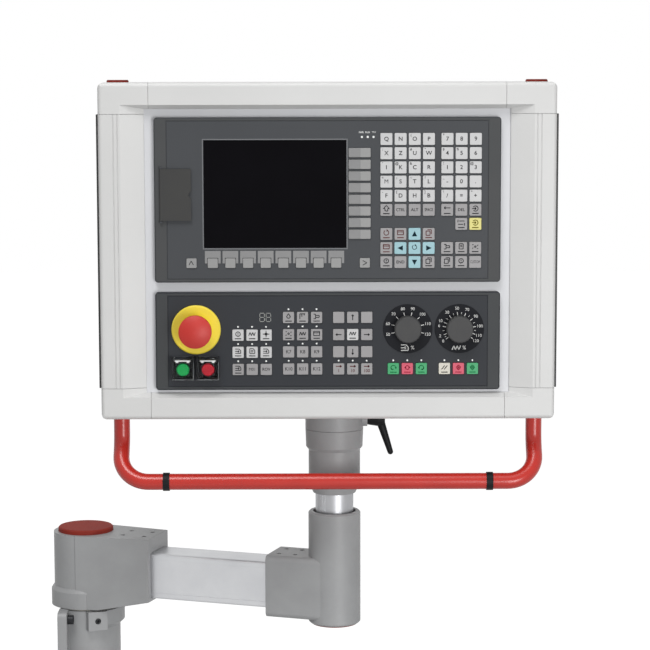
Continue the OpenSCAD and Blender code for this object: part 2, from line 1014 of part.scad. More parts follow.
module corner_castings() {
    color("#dcdcda")
    at_case()
        difference() {
            union() {
                corner_casting();
                right_half()
                    corner_casting();
                top_half() {
                    corner_casting();
                    right_half()
                        corner_casting();
                }
            }
            rear_screw_bores();
        }
}

module corner_plugs() {
    color("#a8443c")
    at_case()
        for (x = [leg_inset, case_w - leg_inset])
            translate([x, leg_depth, case_h]) {
                cylinder(r = plug_r - 0.8, h = plug_h);
                cylinder(r = plug_r, h = plug_h - 0.8);
                translate([0, 0, -leg_grip + 8])
                    cylinder(d = rail_d, h = leg_grip - 8);
            }
}

module side_strips() {
    color("#2b2c2e")
    at_case()
        for (x = [-strip_proud, case_w - strip_sink])
            translate([x, strip_y, corner_h + seam])
                cube([strip_proud + strip_sink, strip_w, case_h - 2 * corner_h - 2 * seam]);
}

plate_u0 = side_reach - plate_lap + slip_fit;
plate_v0 = rail_reach - plate_lap + slip_fit;

module front_plate() {
    color("#e4e5e8")
    difference() {
        at_case()
            translate([plate_u0, plate_y, plate_v0])
                cube([case_w - 2 * plate_u0, plate_t, case_h - 2 * plate_v0]);
        on_op(back_in - slip_fit, op_h - back_in + slip_fit, -plate_t - 1)
            cube([unit_w - 2 * (back_in - slip_fit), op_h - 2 * (back_in - slip_fit), plate_t + 2]);
        on_mc(back_in - slip_fit, mc_h - back_in + slip_fit, -plate_t - 1)
            cube([unit_w - 2 * (back_in - slip_fit), mc_h - 2 * (back_in - slip_fit), plate_t + 2]);
    }
}

rear_screw_d = 4.8;
rear_screw_l = 8;

module rear_screw_bores() {
    rear_screw_places()
        translate([0, 0, -rear_screw_l])
            cylinder(d = rear_screw_d + 2 * run_fit, h = rear_screw_l + 1);
}

module rear_screw_places() {
    for (x = [rear_screw_in, case_w / 2, case_w - rear_screw_in])
        for (z = [rear_screw_in, case_h - rear_screw_in])
            translate([x, rear_y, z])
                rotate([-90, 0, 0])
                    children();
}

module rear_panel() {
    color("#d4d4d2")
    at_case()
        difference() {
            translate([panel_in, rear_y, panel_in])
                cube([case_w - 2 * panel_in, rear_t, case_h - 2 * panel_in]);
            rear_screw_places()
                translate([0, 0, -1])
                    cylinder(d = rear_screw_d + 2 * run_fit, h = rear_t + 2);
        }
}

module rear_screws() {
    color("#b8b9ba")
    at_case()
        rear_screw_places() {
            translate([0, 0, rear_t - rear_screw_l])
                cylinder(d = rear_screw_d, h = rear_screw_l);
            translate([0, 0, rear_t])
                difference() {
                    cylinder(d = 9, h = 2.4);
                    translate([0, 0, 1])
                        cylinder(d = 3.4, h = 2, $fn = 6);
                }
        }
}

/* Handrail */

// The legs lean forward on a 3, 4, 5 slope
rail_r = rail_d / 2;
lean_sin = 0.6;
lean_cos = 0.8;
leg_lean = atan2(lean_sin, lean_cos);
rail_forward = bend_r * (1 - lean_cos) + (lean_run + bend_r) * lean_sin;
leg_straight = rail_drop - bend_r * lean_sin - (lean_run + bend_r) * lean_cos;
bar_y = leg_depth - rail_forward;

// Half of the handrail, from the left leg to the middle of the bar
module half_rail() {
    y1 = leg_depth - bend_r * (1 - lean_cos);
    z1 = -leg_straight - bend_r * lean_sin;
    y2 = y1 - lean_run * lean_sin;
    z2 = z1 - lean_run * lean_cos;
    translate([leg_inset, leg_depth, -leg_straight])
        cylinder(r = rail_r, h = leg_straight + leg_grip - 1);
    multmatrix([
        [0, 0, -1, leg_inset],
        [1, 0, 0, leg_depth - bend_r],
        [0, -1, 0, -leg_straight]
    ])
        rotate_extrude(angle = leg_lean)
            translate([bend_r, 0])
                circle(rail_r);
    translate([leg_inset, y1, z1])
        rotate([180 - leg_lean, 0, 0])
            cylinder(r = rail_r, h = lean_run);
    multmatrix([
        [-1, 0, 0, leg_inset + bend_r],
        [0, -lean_sin, -lean_cos, y2],
        [0, -lean_cos, lean_sin, z2]
    ])
        rotate_extrude(angle = 90)
            translate([bend_r, 0])
                circle(rail_r);
    translate([leg_inset + bend_r, bar_y, -rail_drop])
        rotate([0, 90, 0])
            cylinder(r = rail_r, h = case_w / 2 - leg_inset - bend_r);
}

module handrail() {
    color("#d63a30")
    at_case() {
        half_rail();
        right_half()
            half_rail();
    }
}

module handrail_rings() {
    color("#202022")
    at_case()
        for (x = [ring_inset, case_w - ring_inset - ring_w])
            translate([x, bar_y, -rail_drop])
                rotate([0, 90, 0])
                    tube_z(rail_r + 1.3, rail_r + run_fit, ring_w);
}

/* Operator panel */

// A bezel blank with a stepped edge and a fine line round its field
module bezel_blank(h) {
    difference() {
        union() {
            linear_extrude(bezel_t - 1)
                rrect(unit_w, h, bezel_r);
            translate([1, 1, bezel_t - 1 - eps])
                linear_extrude(1 + eps)
                    rrect(unit_w - 2, h - 2, bezel_r - 1 + eps);
        }
        translate([0, 0, bezel_t - 0.5])
            linear_extrude(1)
                difference() {
                    translate([rim, 4])
                        square([unit_w - 2 * rim, h - 8]);
                    translate([rim + 0.7, 4.7])
                        square([unit_w - 2 * rim - 1.4, h - 9.4]);
                }
    }
}

// A key blank or its pocket, its upper left corner at the origin
module key_blank(w, h, grow, len) {
    translate([-grow, -h - grow, 0])
        linear_extrude(len)
            rrect(w + 2 * grow, h + 2 * grow, key_r);
}

key_floor = bezel_t - key_pocket;
key_len = key_pocket + key_proud;

module op_key_at(u, v) {
    on_op(u, v, key_floor)
        key_blank(key_w, key_h, 0, key_len);
}

module op_pocket(u, v, w, h) {
    on_op(u, v, key_floor)
        key_blank(w, h, key_clear, key_pocket + 1);
}

// Places of the operator's keys by colour, as [column start, row start, column, row]
function grid(u, v, cols, rows) = [for (c = cols, r = rows) [u + c * key_p * lay_u, v + r * key_p * lay_op]];

white_places = concat(
    grid(letter_u, rows_v, [0:3], [0:4]),
    grid(number_u, rows_v, [0:2], [0:4])
);
grey_places = concat(
    grid(letter_u, rows_v, [0:3], [5]),
    grid(number_u, rows_v, [0:2], [5]),
    grid(number_u, rows_v, [1], [6]),
    grid(letter_u, cursor_v, [0, 1, 3], [0]),
    grid(letter_u, cursor_v, [0], [1]),
    grid(letter_u, cursor_v, [0, 1, 3], [2]),
    grid(number_u, cursor_v, [0:2], [1, 2])
);
blue_places = concat(
    grid(letter_u, cursor_v, [2], [0, 1, 2]),
    grid(letter_u, cursor_v, [1, 3], [1])
);
input_place = grid(number_u, rows_v, [2], [6])[0];

soft_w = 19.2 * lay_u;
soft_v = 161.4 * lay_op;
soft_key_w = 12.3 * lay_u;
soft_key_h = 11.7 * lay_op;
side_w = 26.8 * lay_u;
side_h = 11.2 * lay_op;
side_u = 235.4 * lay_u;
side_v = 37.1 * lay_op;
end_v = 170.4 * lay_op;

// The softkeys under the display and beside it, and the two paging keys
module soft_places(grow, len) {
    for (i = [0:7]) {
        on_op(soft_u + i * soft_p + (soft_w - soft_key_w) / 2, end_v, key_floor)
            key_blank(soft_key_w, soft_key_h, grow, len);
        on_op(side_u, side_v + i * side_p, key_floor)
            key_blank(side_w, side_h, grow, len);
    }
    for (u = [38.5 * lay_u, 249 * lay_u])
        on_op(u, end_v, key_floor)
            key_blank(soft_key_w, soft_key_h, grow, len);
}

screen_w = side_u - screen_gap - screen_u;
screen_h = soft_v - screen_low - screen_v;

module operator_bezel() {
    color("#4e4f52")
    difference() {
        union() {
            on_op(0, op_h)
                bezel_blank(op_h);
            // Lugs that hold the cover's hinge pin
            for (v = [cover_v - lug_w, cover_v + cover_h])
                on_op(cover_u, v + lug_w, bezel_t - eps)
                    cube([2 * barrel_out, lug_w - face_gap, 2 * barrel_out + face_gap + eps]);
        }
        for (p = concat(white_places, grey_places, blue_places))
            op_pocket(p[0], p[1], key_w, key_h);
        on_op(input_place[0], input_place[1], key_floor - key_travel - 0.2)
            key_blank(key_w, key_h, key_clear, bezel_t);
        soft_places(key_clear, key_pocket + 1);
        on_op(screen_u, screen_v + screen_h, bezel_t - 4)
            cube([screen_w, screen_h, 5]);
        // Socket recess behind the interface cover
        on_op(cover_u + 9, cover_v + cover_h - 8, bezel_t - 2.5)
            cube([cover_w - 17, cover_h - 16, 6]);
        on_op(cover_u + barrel_out, cover_v + cover_h + 2 * lug_w, cover_pin_h)
            rotate([-90, 0, 0])
                cylinder(r = pin_r + run_fit, h = cover_h + 4 * lug_w);
    }
}

cover_pin_h = bezel_t + barrel_out + face_gap;

fin_p = 22;
fin_n = floor((unit_w - 2 * back_in - 56) / fin_p);

module operator_casing() {
    color("#b9bbbd")
    on_op(back_in, op_h - back_in, -op_depth)
        difference() {
            cube([unit_w - 2 * back_in, op_h - 2 * back_in, op_depth]);
            // Cooling fins across the back
            for (i = [0:fin_n])
                translate([20 + i * fin_p, -1, -1])
                    cube([8, op_h, 7]);
        }
}

module display_glass() {
    color("#0f0e13")
    on_op(screen_u + slip_fit, screen_v + screen_h - slip_fit, bezel_t - 4)
        cube([screen_w - 2 * slip_fit, screen_h - 2 * slip_fit, 4 - screen_sink]);
}

module usb_cover() {
    color("#454649")
    difference() {
        union() {
            on_op(cover_u + barrel_out, cover_v + cover_h - face_gap, bezel_t + face_gap)
                linear_extrude(cover_t - face_gap)
                    rrect(cover_w - barrel_out, cover_h - 2 * face_gap, 0.8);
            on_op(cover_u + barrel_out, cover_v + cover_h - face_gap, cover_pin_h)
                rotate([-90, 0, 0])
                    cylinder(r = barrel_out, h = cover_h - 2 * face_gap);
        }
        on_op(cover_u + barrel_out, cover_v + cover_h + 1, cover_pin_h)
            rotate([-90, 0, 0])
                cylinder(r = pin_r + run_fit, h = cover_h + 2);
        // Finger notch at the free edge
        on_op(cover_u + cover_w + 1, cover_v + cover_h / 2, bezel_t)
            cylinder(r = 4, h = cover_t + 1);
    }
}

module usb_hinge_pin() {
    color("#b8b9ba")
    on_op(cover_u + barrel_out, cover_v + cover_h + lug_w - face_gap, cover_pin_h)
        rotate([-90, 0, 0])
            cylinder(r = pin_r, h = cover_h + 2 * lug_w - 2 * face_gap);
}

module operator_white_keys() {
    color("#dcdcdc")
    for (p = white_places)
        op_key_at(p[0], p[1]);
}

module operator_grey_keys() {
    color("#a8a6a6")
    for (p = grey_places)
        op_key_at(p[0], p[1]);
}

module operator_blue_keys() {
    color("#9cd3dc")
    for (p = blue_places)
        op_key_at(p[0], p[1]);
}

module operator_softkeys() {
    color("#9a9a9a")
    soft_places(0, key_len);
}

module input_key() {
    color("#e8dc6e")
    op_key_at(input_place[0], input_place[1]);
}

/* Machine control panel */

module mc_key_at(u, v) {
    on_mc(u, v, key_floor)
        key_blank(mkey_w, mkey_h, 0, key_len);
}

function mgrid(u, v, cols, rows) = [for (c = cols, r = rows) [u + c * mkey_pu * lay_u, v + r * mkey_pv * lay_mc]];

mwhite_places = concat(
    mgrid(left_u, left_v, [0:2], [0, 1]),
    mgrid(axis_u, block_v, [1], [1])
);
mgrey_places = concat(
    mgrid(left_u, left_v, [0:2], [2]),
    mgrid(mid_u, block_v, [0:2], [0:3]),
    mgrid(axis_u, block_v, [0:2], [0, 2, 3]),
    mgrid(axis_u, block_v, [0, 2], [1])
);
colour_u = concat(
    [for (c = [0:2]) start_u + c * mkey_pu * lay_u],
    [for (c = [0:2]) reset_u + c * mkey_pu * lay_u]
);

module machine_bezel() {
    color("#4e4f52")
    difference() {
        on_mc(0, mc_h)
            bezel_blank(mc_h);
        for (p = concat(mwhite_places, mgrey_places))
            on_mc(p[0], p[1], key_floor)
                key_blank(mkey_w, mkey_h, key_clear, key_pocket + 1);
        for (u = colour_u)
            on_mc(u, colour_v, key_floor - key_travel - 0.2)
                key_blank(mkey_w, mkey_h, key_clear, bezel_t);
        on_mc(stop_u, stop_v, -1)
            cylinder(r = stem_out_r + 1, h = bezel_t + 2);
        for (u = [on_u, off_u])
            on_mc(u, button_v, -1)
                cylinder(r = button_out_r + run_fit, h = bezel_t + 2);
        for (u = dial_u)
            on_mc(u, dial_v, -1)
                cylinder(r = shaft_r + run_fit, h = bezel_t + 2);
    }
}

stem_in = 8;
shaft_in = 8;

module machine_casing() {
    color("#b9bbbd")
    difference() {
        on_mc(back_in, mc_h - back_in, -mc_depth)
            cube([unit_w - 2 * back_in, mc_h - 2 * back_in, mc_depth]);
        on_mc(stop_u, stop_v, -stem_in - stop_travel - 1)
            cylinder(r = stem_out_r + 1, h = mc_depth);
        for (u = [on_u, off_u])
            on_mc(u, button_v, -button_travel - 0.5)
                cylinder(r = button_out_r + 1, h = mc_depth);
        for (u = dial_u)
            on_mc(u, dial_v, -shaft_in - 1)
                cylinder(r = shaft_r + run_fit, h = mc_depth);
    }
}

collar_t = 4;
neck_top = 12;
head_low = neck_top + stop_travel + 2;

module estop_collar() {
    color("#f0d52a")
    on_mc(stop_u, stop_v, bezel_t)
        difference() {
            union() {
                cylinder(r = stop_out_r, h = collar_t - 1.5);
                translate([0, 0, collar_t - 1.5])
                    cylinder(r1 = stop_out_r, r2 = stop_out_r - 1.5, h = 1.5);
                cylinder(r1 = stem_out_r + 8, r2 = stem_out_r + 5, h = neck_top);
            }
            translate([0, 0, -1])
                cylinder(r = stem_out_r + run_fit, h = neck_top + 2);
        }
}

tip_r = stem_out_r - 3;
tip_h = 9;

module estop_plunger() {
    color("#55565a")
    on_mc(stop_u, stop_v, -stem_in) {
        cylinder(r = stem_out_r, h = stem_in + bezel_t + head_low - face_gap);
        cylinder(r = tip_r, h = stem_in + bezel_t + head_low + tip_h);
    }
}

module estop_mushroom() {
    color("#d8483e")
    on_mc(stop_u, stop_v, bezel_t)
        difference() {
            intersection() {
                union() {
                    translate([0, 0, head_low])
                        cylinder(r1 = stop_head_r - 3, r2 = stop_head_r, h = 4);
                    translate([0, 0, head_low + 4])
                        cylinder(r = stop_head_r, h = stop_h - head_low - 4);
                }
                translate([0, 0, stop_h - 2 * stop_head_r])
                    sphere(r = 2 * stop_head_r);
            }
            translate([0, 0, head_low - 1])
                cylinder(r = tip_r + run_fit, h = tip_h + 1 + face_gap);
        }
}

module push_button(u) {
    on_mc(u, button_v, 0) {
        cylinder(r = button_out_r, h = bezel_t + 4);
        translate([0, 0, bezel_t + 4])
            cylinder(r1 = button_out_r, r2 = button_out_r - 1, h = 1);
    }
}

module on_button() {
    color("#2fb36a")
    push_button(on_u);
}

module off_button() {
    color("#d8333a")
    push_button(off_u);
}

ear_w = guard_wall;
ear_lap = 0.8;
lid_wide = 2.3;

// A guard frame round a button, with two ears that carry the lid; centred across
module button_guard() {
    difference() {
        union() {
            translate([-guard_x / 2, -guard_y, 0])
                linear_extrude(guard_h)
                    rrect(guard_x, guard_y, 1);
            for (x = [-guard_x / 2, guard_x / 2 - ear_w])
                translate([x, -ear_lap, 0])
                    cube([ear_w, ear_lap - lid_axis_v + lid_barrel_r, lid_axis_h + lid_barrel_r]);
        }
        translate([-guard_x / 2 + guard_wall, -guard_y + guard_wall, -1])
            cube([guard_x - 2 * guard_wall, guard_y - 2 * guard_wall, guard_h + 2]);
        translate([-guard_x, -lid_axis_v, lid_axis_h])
            rotate([0, 90, 0])
                cylinder(r = lid_pin_r + run_fit, h = 2 * guard_x);
    }
}

module button_guards() {
    color("#1c1c1e")
    for (u = [on_u, off_u])
        on_mc(u, guard_v, bezel_t)
            button_guard();
}

// A clear lid with its hinge barrel and end pins; centred across
module flip_lid(u) {
    inner = guard_x - 2 * ear_w - 2 * face_gap;
    on_mc(u, guard_v, bezel_t) {
        translate([-inner / 2, -lid_wide - eps, guard_h + face_gap])
            cube([inner, lid_wide + eps - lid_axis_v, lid_t]);
        translate([-guard_x / 2, -guard_y, guard_h + face_gap])
            cube([guard_x, guard_y - lid_wide, lid_t]);
        translate([-inner / 2, -lid_axis_v, lid_axis_h])
            rotate([0, 90, 0])
                cylinder(r = lid_barrel_r, h = inner);
        translate([-guard_x / 2 + face_gap, -lid_axis_v, lid_axis_h])
            rotate([0, 90, 0])
                cylinder(r = lid_pin_r, h = guard_x - 2 * face_gap);
    }
}

module on_lid() {
    color("#cfd8dc", 0.5)
    flip_lid(on_u);
}

module off_lid() {
    color("#cfd8dc", 0.5)
    flip_lid(off_u);
}

module dial_plates() {
    color("#232427")
    for (u = dial_u)
        on_mc(u, dial_v, bezel_t)
            tube_z(dial_out_r, shaft_r + slip_fit, dial_t);
}

// An override knob with fluted sides and its shaft
module override_knob(u) {
    on_mc(u, dial_v, bezel_t + dial_t + knob_gap)
        difference() {
            union() {
                cylinder(r = knob_out_r, h = knob_h - 1.5);
                translate([0, 0, knob_h - 1.5])
                    cylinder(r1 = knob_out_r, r2 = knob_out_r - 1.5, h = 1.5);
            }
            for (i = [0:knob_flutes - 1])
                rotate([0, 0, i * 360 / knob_flutes])
                    translate([knob_out_r + 0.6, 0, 3])
                        cylinder(r = 1.2, h = knob_h);
        }
    on_mc(u, dial_v, -shaft_in)
        cylinder(r = shaft_r, h = shaft_in + bezel_t + dial_t + knob_gap + eps);
}

module spindle_knob() {
    color("#5a5b5d")
    override_knob(dial_u[0]);
}

module feed_knob() {
    color("#5a5b5d")
    override_knob(dial_u[1]);
}

module machine_white_keys() {
    color("#dcdcdc")
    for (p = mwhite_places)
        mc_key_at(p[0], p[1]);
}

module machine_grey_keys() {
    color("#a8a6a6")
    for (p = mgrey_places)
        mc_key_at(p[0], p[1]);
}

module spindle_left_key() {
    color("#2fb36a")
    mc_key_at(colour_u[0], colour_v);
}

module spindle_stop_key() {
    color("#e8506a")
    mc_key_at(colour_u[1], colour_v);
}

module spindle_right_key() {
    color("#2fb36a")
    mc_key_at(colour_u[2], colour_v);
}

module reset_key() {
    color("#e6e0da")
    mc_key_at(colour_u[3], colour_v);
}

module cycle_stop_key() {
    color("#e8506a")
    mc_key_at(colour_u[4], colour_v);
}

module cycle_start_key() {
    color("#2fb36a")
    mc_key_at(colour_u[5], colour_v);
}

post_bracket();
post_grub_screw();
shoulder_bush();
shoulder_housing();
shoulder_cap();
arm_profile();
arm_grub_screws();
elbow_housing();
elbow_cap();
pillar_tube();
coupling_base();
coupling_bush();
coupling_retainer();
coupling_head();
coupling_screws();
clamp_stud();
clamp_lever();
frame_top();
frame_bottom();
frame_left();
frame_right();
corner_castings();
corner_plugs();
side_strips();
front_plate();
rear_panel();
rear_screws();
handrail();
handrail_rings();
operator_bezel();
operator_casing();
display_glass();
usb_cover();
usb_hinge_pin();
operator_white_keys();
operator_grey_keys();
operator_blue_keys();
operator_softkeys();
input_key();
machine_bezel();
machine_casing();
estop_collar();
estop_plunger();
estop_mushroom();
on_button();
off_button();
button_guards();
on_lid();
off_lid();
dial_plates();
spindle_knob();
feed_knob();
machine_white_keys();
machine_grey_keys();
spindle_left_key();
spindle_stop_key();
spindle_right_key();
reset_key();
cycle_stop_key();
cycle_start_key();
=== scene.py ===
"""Looks of a CNC operator panel on a swivel arm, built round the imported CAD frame."""

import logging
import math
from dataclasses import dataclass, field
from enum import Enum
from typing import Any, Optional, Sequence

import bmesh
import bpy
from mathutils import Matrix, Vector


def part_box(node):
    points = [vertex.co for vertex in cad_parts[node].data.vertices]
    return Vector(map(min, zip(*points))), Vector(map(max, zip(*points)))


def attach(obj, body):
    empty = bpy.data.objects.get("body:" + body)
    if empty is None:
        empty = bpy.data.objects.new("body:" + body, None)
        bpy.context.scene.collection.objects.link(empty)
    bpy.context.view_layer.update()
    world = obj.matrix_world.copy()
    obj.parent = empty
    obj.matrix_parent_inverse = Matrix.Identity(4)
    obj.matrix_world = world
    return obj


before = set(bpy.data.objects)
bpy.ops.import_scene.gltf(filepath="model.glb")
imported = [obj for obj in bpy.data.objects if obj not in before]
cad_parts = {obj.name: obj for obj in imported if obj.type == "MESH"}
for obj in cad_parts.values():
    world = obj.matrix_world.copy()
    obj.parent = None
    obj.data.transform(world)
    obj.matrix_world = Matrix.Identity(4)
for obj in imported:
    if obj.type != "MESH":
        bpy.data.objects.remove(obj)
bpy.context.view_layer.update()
LOG = logging.getLogger("operator_panel")
MM = 0.001
UM = 1e-6
MM_PER_M = 1000

# Two numbers, such as a place or a size on a face
Point = tuple[float, float]
# A place in the row frame, in metres
Spot = tuple[float, float, float]


class Surface(Enum):
    """How a surface was made, which sets the pattern of its bump and gloss."""

    MOULDED = "moulded"
    POWDER = "powder coated"
    CAST = "cast and painted"
    DRAWN = "drawn or extruded"
    TURNED = "turned"
    GLAZED = "glazed"
    PRINTED = "printed"


class Run(Enum):
    """Direction that the lines of a drawn surface run in."""

    NONE = (1.0, 1.0, 1.0)
    ALONG_X = (0.02, 1.0, 1.0)
    ALONG_Z = (1.0, 1.0, 0.02)


def linear(hex_colour: str) -> tuple[float, float, float, float]:
    """Turns an sRGB hex colour to linear RGBA.

    Args:
        hex_colour: Six hex digits.

    Returns:
        Linear red, green, blue and an alpha of 1.
    """
    parts = [int(hex_colour[i : i + 2], 16) / 255 for i in (0, 2, 4)]
    red, green, blue = (
        c / 12.92 if c <= 0.04045 else ((c + 0.055) / 1.055) ** 2.4 for c in parts
    )
    return red, green, blue, 1.0


def add_node(
    tree: bpy.types.NodeTree,
    kind: str,
    settings: Optional[dict[str, Any]] = None,
    links: Optional[dict[str, bpy.types.NodeSocket]] = None,
) -> bpy.types.Node:
    """Adds one node with its settings and links.

    Args:
        tree: Node tree that takes the node.
        kind: Blender's name of the node type.
        settings: Values for input sockets by name, or for the node's attributes.
        links: Output sockets to join to the node's inputs, by input name or number.

    Returns:
        The new node.
    """
    made = tree.nodes.new(kind)
    for name, value in (settings or {}).items():
        if name in made.inputs:
            made.inputs[name].default_value = value
        else:
            setattr(made, name, value)
    for name, socket in (links or {}).items():
        # Nodes with several inputs of one name, such as Math, are joined by number
        tree.links.new(socket, made.inputs[int(name) if name.isdigit() else name])
    return made


@dataclass(frozen=True)
class Finish:
    """One real material and how its surface was made.

    The grain is given in millimetres of the real surface, and bump_um is its depth in
    micrometres. Some grains are drawn coarser than real, because the real one is finer
    than a pixel of the render.
    """

    name: str
    base: str
    tint: str
    surface: Surface
    grain_mm: float
    bump_um: float
    rough: float
    rough_swing: float
    cloud_mm: float = 60.0
    metallic: float = 0.0
    ior: float = 1.5
    coat: float = 0.0
    transmission: float = 0.0
    edge_mm: float = 0.4
    run: Run = Run.NONE

    def material(self) -> bpy.types.Material:
        """Gives the Blender material, made once.

        Returns:
            The material with this finish's name.
        """
        found = bpy.data.materials.get(self.name)
        return found if found else self._build()

    def _build(self) -> bpy.types.Material:
        """Builds the node tree: colour clouds, gloss swing, grain bump and soft edges.

        Returns:
            The new material.
        """
        made = bpy.data.materials.new(self.name)
        made.use_nodes = True
        tree = made.node_tree
        tree.nodes.clear()
        place = add_node(tree, "ShaderNodeTexCoord").outputs["Object"]
        stretched = add_node(
            tree, "ShaderNodeMapping", {"Scale": self.run.value}, {"Vector": place}
        ).outputs["Vector"]
        cloud = add_node(
            tree,
            "ShaderNodeTexNoise",
            {"Scale": MM_PER_M / self.cloud_mm, "Detail": 4.0, "Roughness": 0.6},
            {"Vector": place},
        ).outputs["Fac"]
        share = add_node(
            tree,
            "ShaderNodeMapRange",
            {"From Min": 0.35, "From Max": 0.68, "To Min": 0.0, "To Max": 1.0},
            {"Value": cloud},
        ).outputs["Result"]
        colour = add_node(tree, "ShaderNodeMix", {"data_type": "RGBA"}, {"Factor": share})
        # Sockets 6 and 7 are the mix node's two colours, and its output 2 is their mix
        colour.inputs[6].default_value = linear(self.base)
        colour.inputs[7].default_value = linear(self.tint)
        grain = self._grain(tree, stretched)
        gloss = add_node(
            tree,
            "ShaderNodeMapRange",
            {
                "From Min": 0.25,
                "From Max": 0.75,
                "To Min": max(self.rough - self.rough_swing, 0.02),
                "To Max": min(self.rough + self.rough_swing, 1.0),
            },
            {"Value": grain},
        ).outputs["Result"]
        soft = add_node(
            tree, "ShaderNodeBevel", {"samples": 4, "Radius": self.edge_mm * MM}
        ).outputs["Normal"]
        bump = add_node(
            tree,
            "ShaderNodeBump",
            {"Strength": 0.6, "Distance": self.bump_um * UM},
            {"Height": grain, "Normal": soft},
        ).outputs["Normal"]
        shader = add_node(
            tree,
            "ShaderNodeBsdfPrincipled",
            {
                "Metallic": self.metallic,
                "IOR": self.ior,
                "Coat Weight": self.coat,
                "Coat Roughness": 0.08,
                "Transmission Weight": self.transmission,
            },
            {"Base Color": colour.outputs[2], "Roughness": gloss, "Normal": bump},
        )
        add_node(
            tree, "ShaderNodeOutputMaterial", None, {"Surface": shader.outputs["BSDF"]}
        )
        return made

    def _grain(
        self, tree: bpy.types.NodeTree, place: bpy.types.NodeSocket
    ) -> bpy.types.NodeSocket:
        """Adds the fine pattern that the way of making left.

        Args:
            tree: Node tree of the material.
            place: Coordinates, already stretched along the run of the lines.

        Returns:
            Socket with the pattern's height.
        """
        scale = MM_PER_M / self.grain_mm
        if self.surface in (Surface.CAST, Surface.POWDER):
            # Orange peel of a sprayed coat: round cells with soft borders
            cells = add_node(
                tree,
                "ShaderNodeTexVoronoi",
                {"Scale": scale, "feature": "SMOOTH_F1", "Smoothness": 1.0},
                {"Vector": place},
            ).outputs["Distance"]
            fine = add_node(
                tree,
                "ShaderNodeTexNoise",
                {"Scale": scale * 0.7, "Detail": 3.0},
                {"Vector": place},
            ).outputs["Fac"]
            return add_node(
                tree, "ShaderNodeMath", {"operation": "MULTIPLY_ADD"},
                {"0": cells, "1": fine, "2": fine},
            ).outputs["Value"]
        detail = 6.0 if self.surface in (Surface.DRAWN, Surface.TURNED) else 2.5
        return add_node(
            tree,
            "ShaderNodeTexNoise",
            {"Scale": scale, "Detail": detail, "Roughness": 0.55},
            {"Vector": place},
        ).outputs["Fac"]


def key_foil(colour_name: str, base: str, tint: str) -> Finish:
    """Gives an embossed key cap under the foil: satin, faintly uneven.

    Args:
        colour_name: End of the material's name.
        base: Colour.
        tint: Colour of its clouds.

    Returns:
        The key's finish.
    """
    return Finish(
        f"Key_foil_{colour_name}", base, tint, Surface.MOULDED,
        grain_mm=1.0, bump_um=12, rough=0.44, rough_swing=0.05, cloud_mm=40, edge_mm=0.5,
    )


def ink(colour_name: str, base: str, tint: str) -> Finish:
    """Gives a screen printing ink: dead matt, so that signs stay dark or bright in any light.

    Args:
        colour_name: End of the material's name.
        base: Colour.
        tint: Colour of its clouds.

    Returns:
        The ink's finish.
    """
    return Finish(
        f"Print_{colour_name}", base, tint, Surface.PRINTED,
        grain_mm=0.8, bump_um=3, rough=0.7, rough_swing=0.05, cloud_mm=20, ior=1.2,
    )


def foil(colour_name: str, base: str, tint: str, edge_mm: float = 0.4) -> Finish:
    """Gives a printed polyester foil over an aluminium plate: dark, with a fine matt grain.

    Args:
        colour_name: End of the material's name.
        base: Colour.
        tint: Colour of its clouds.
        edge_mm: Radius that its edges look rounded by.

    Returns:
        The foil's finish.
    """
    return Finish(
        f"Polyester_foil_{colour_name}", base, tint, Surface.MOULDED,
        grain_mm=0.9, bump_um=14, rough=0.55, rough_swing=0.06, cloud_mm=160,
        ior=1.25, edge_mm=edge_mm,
    )


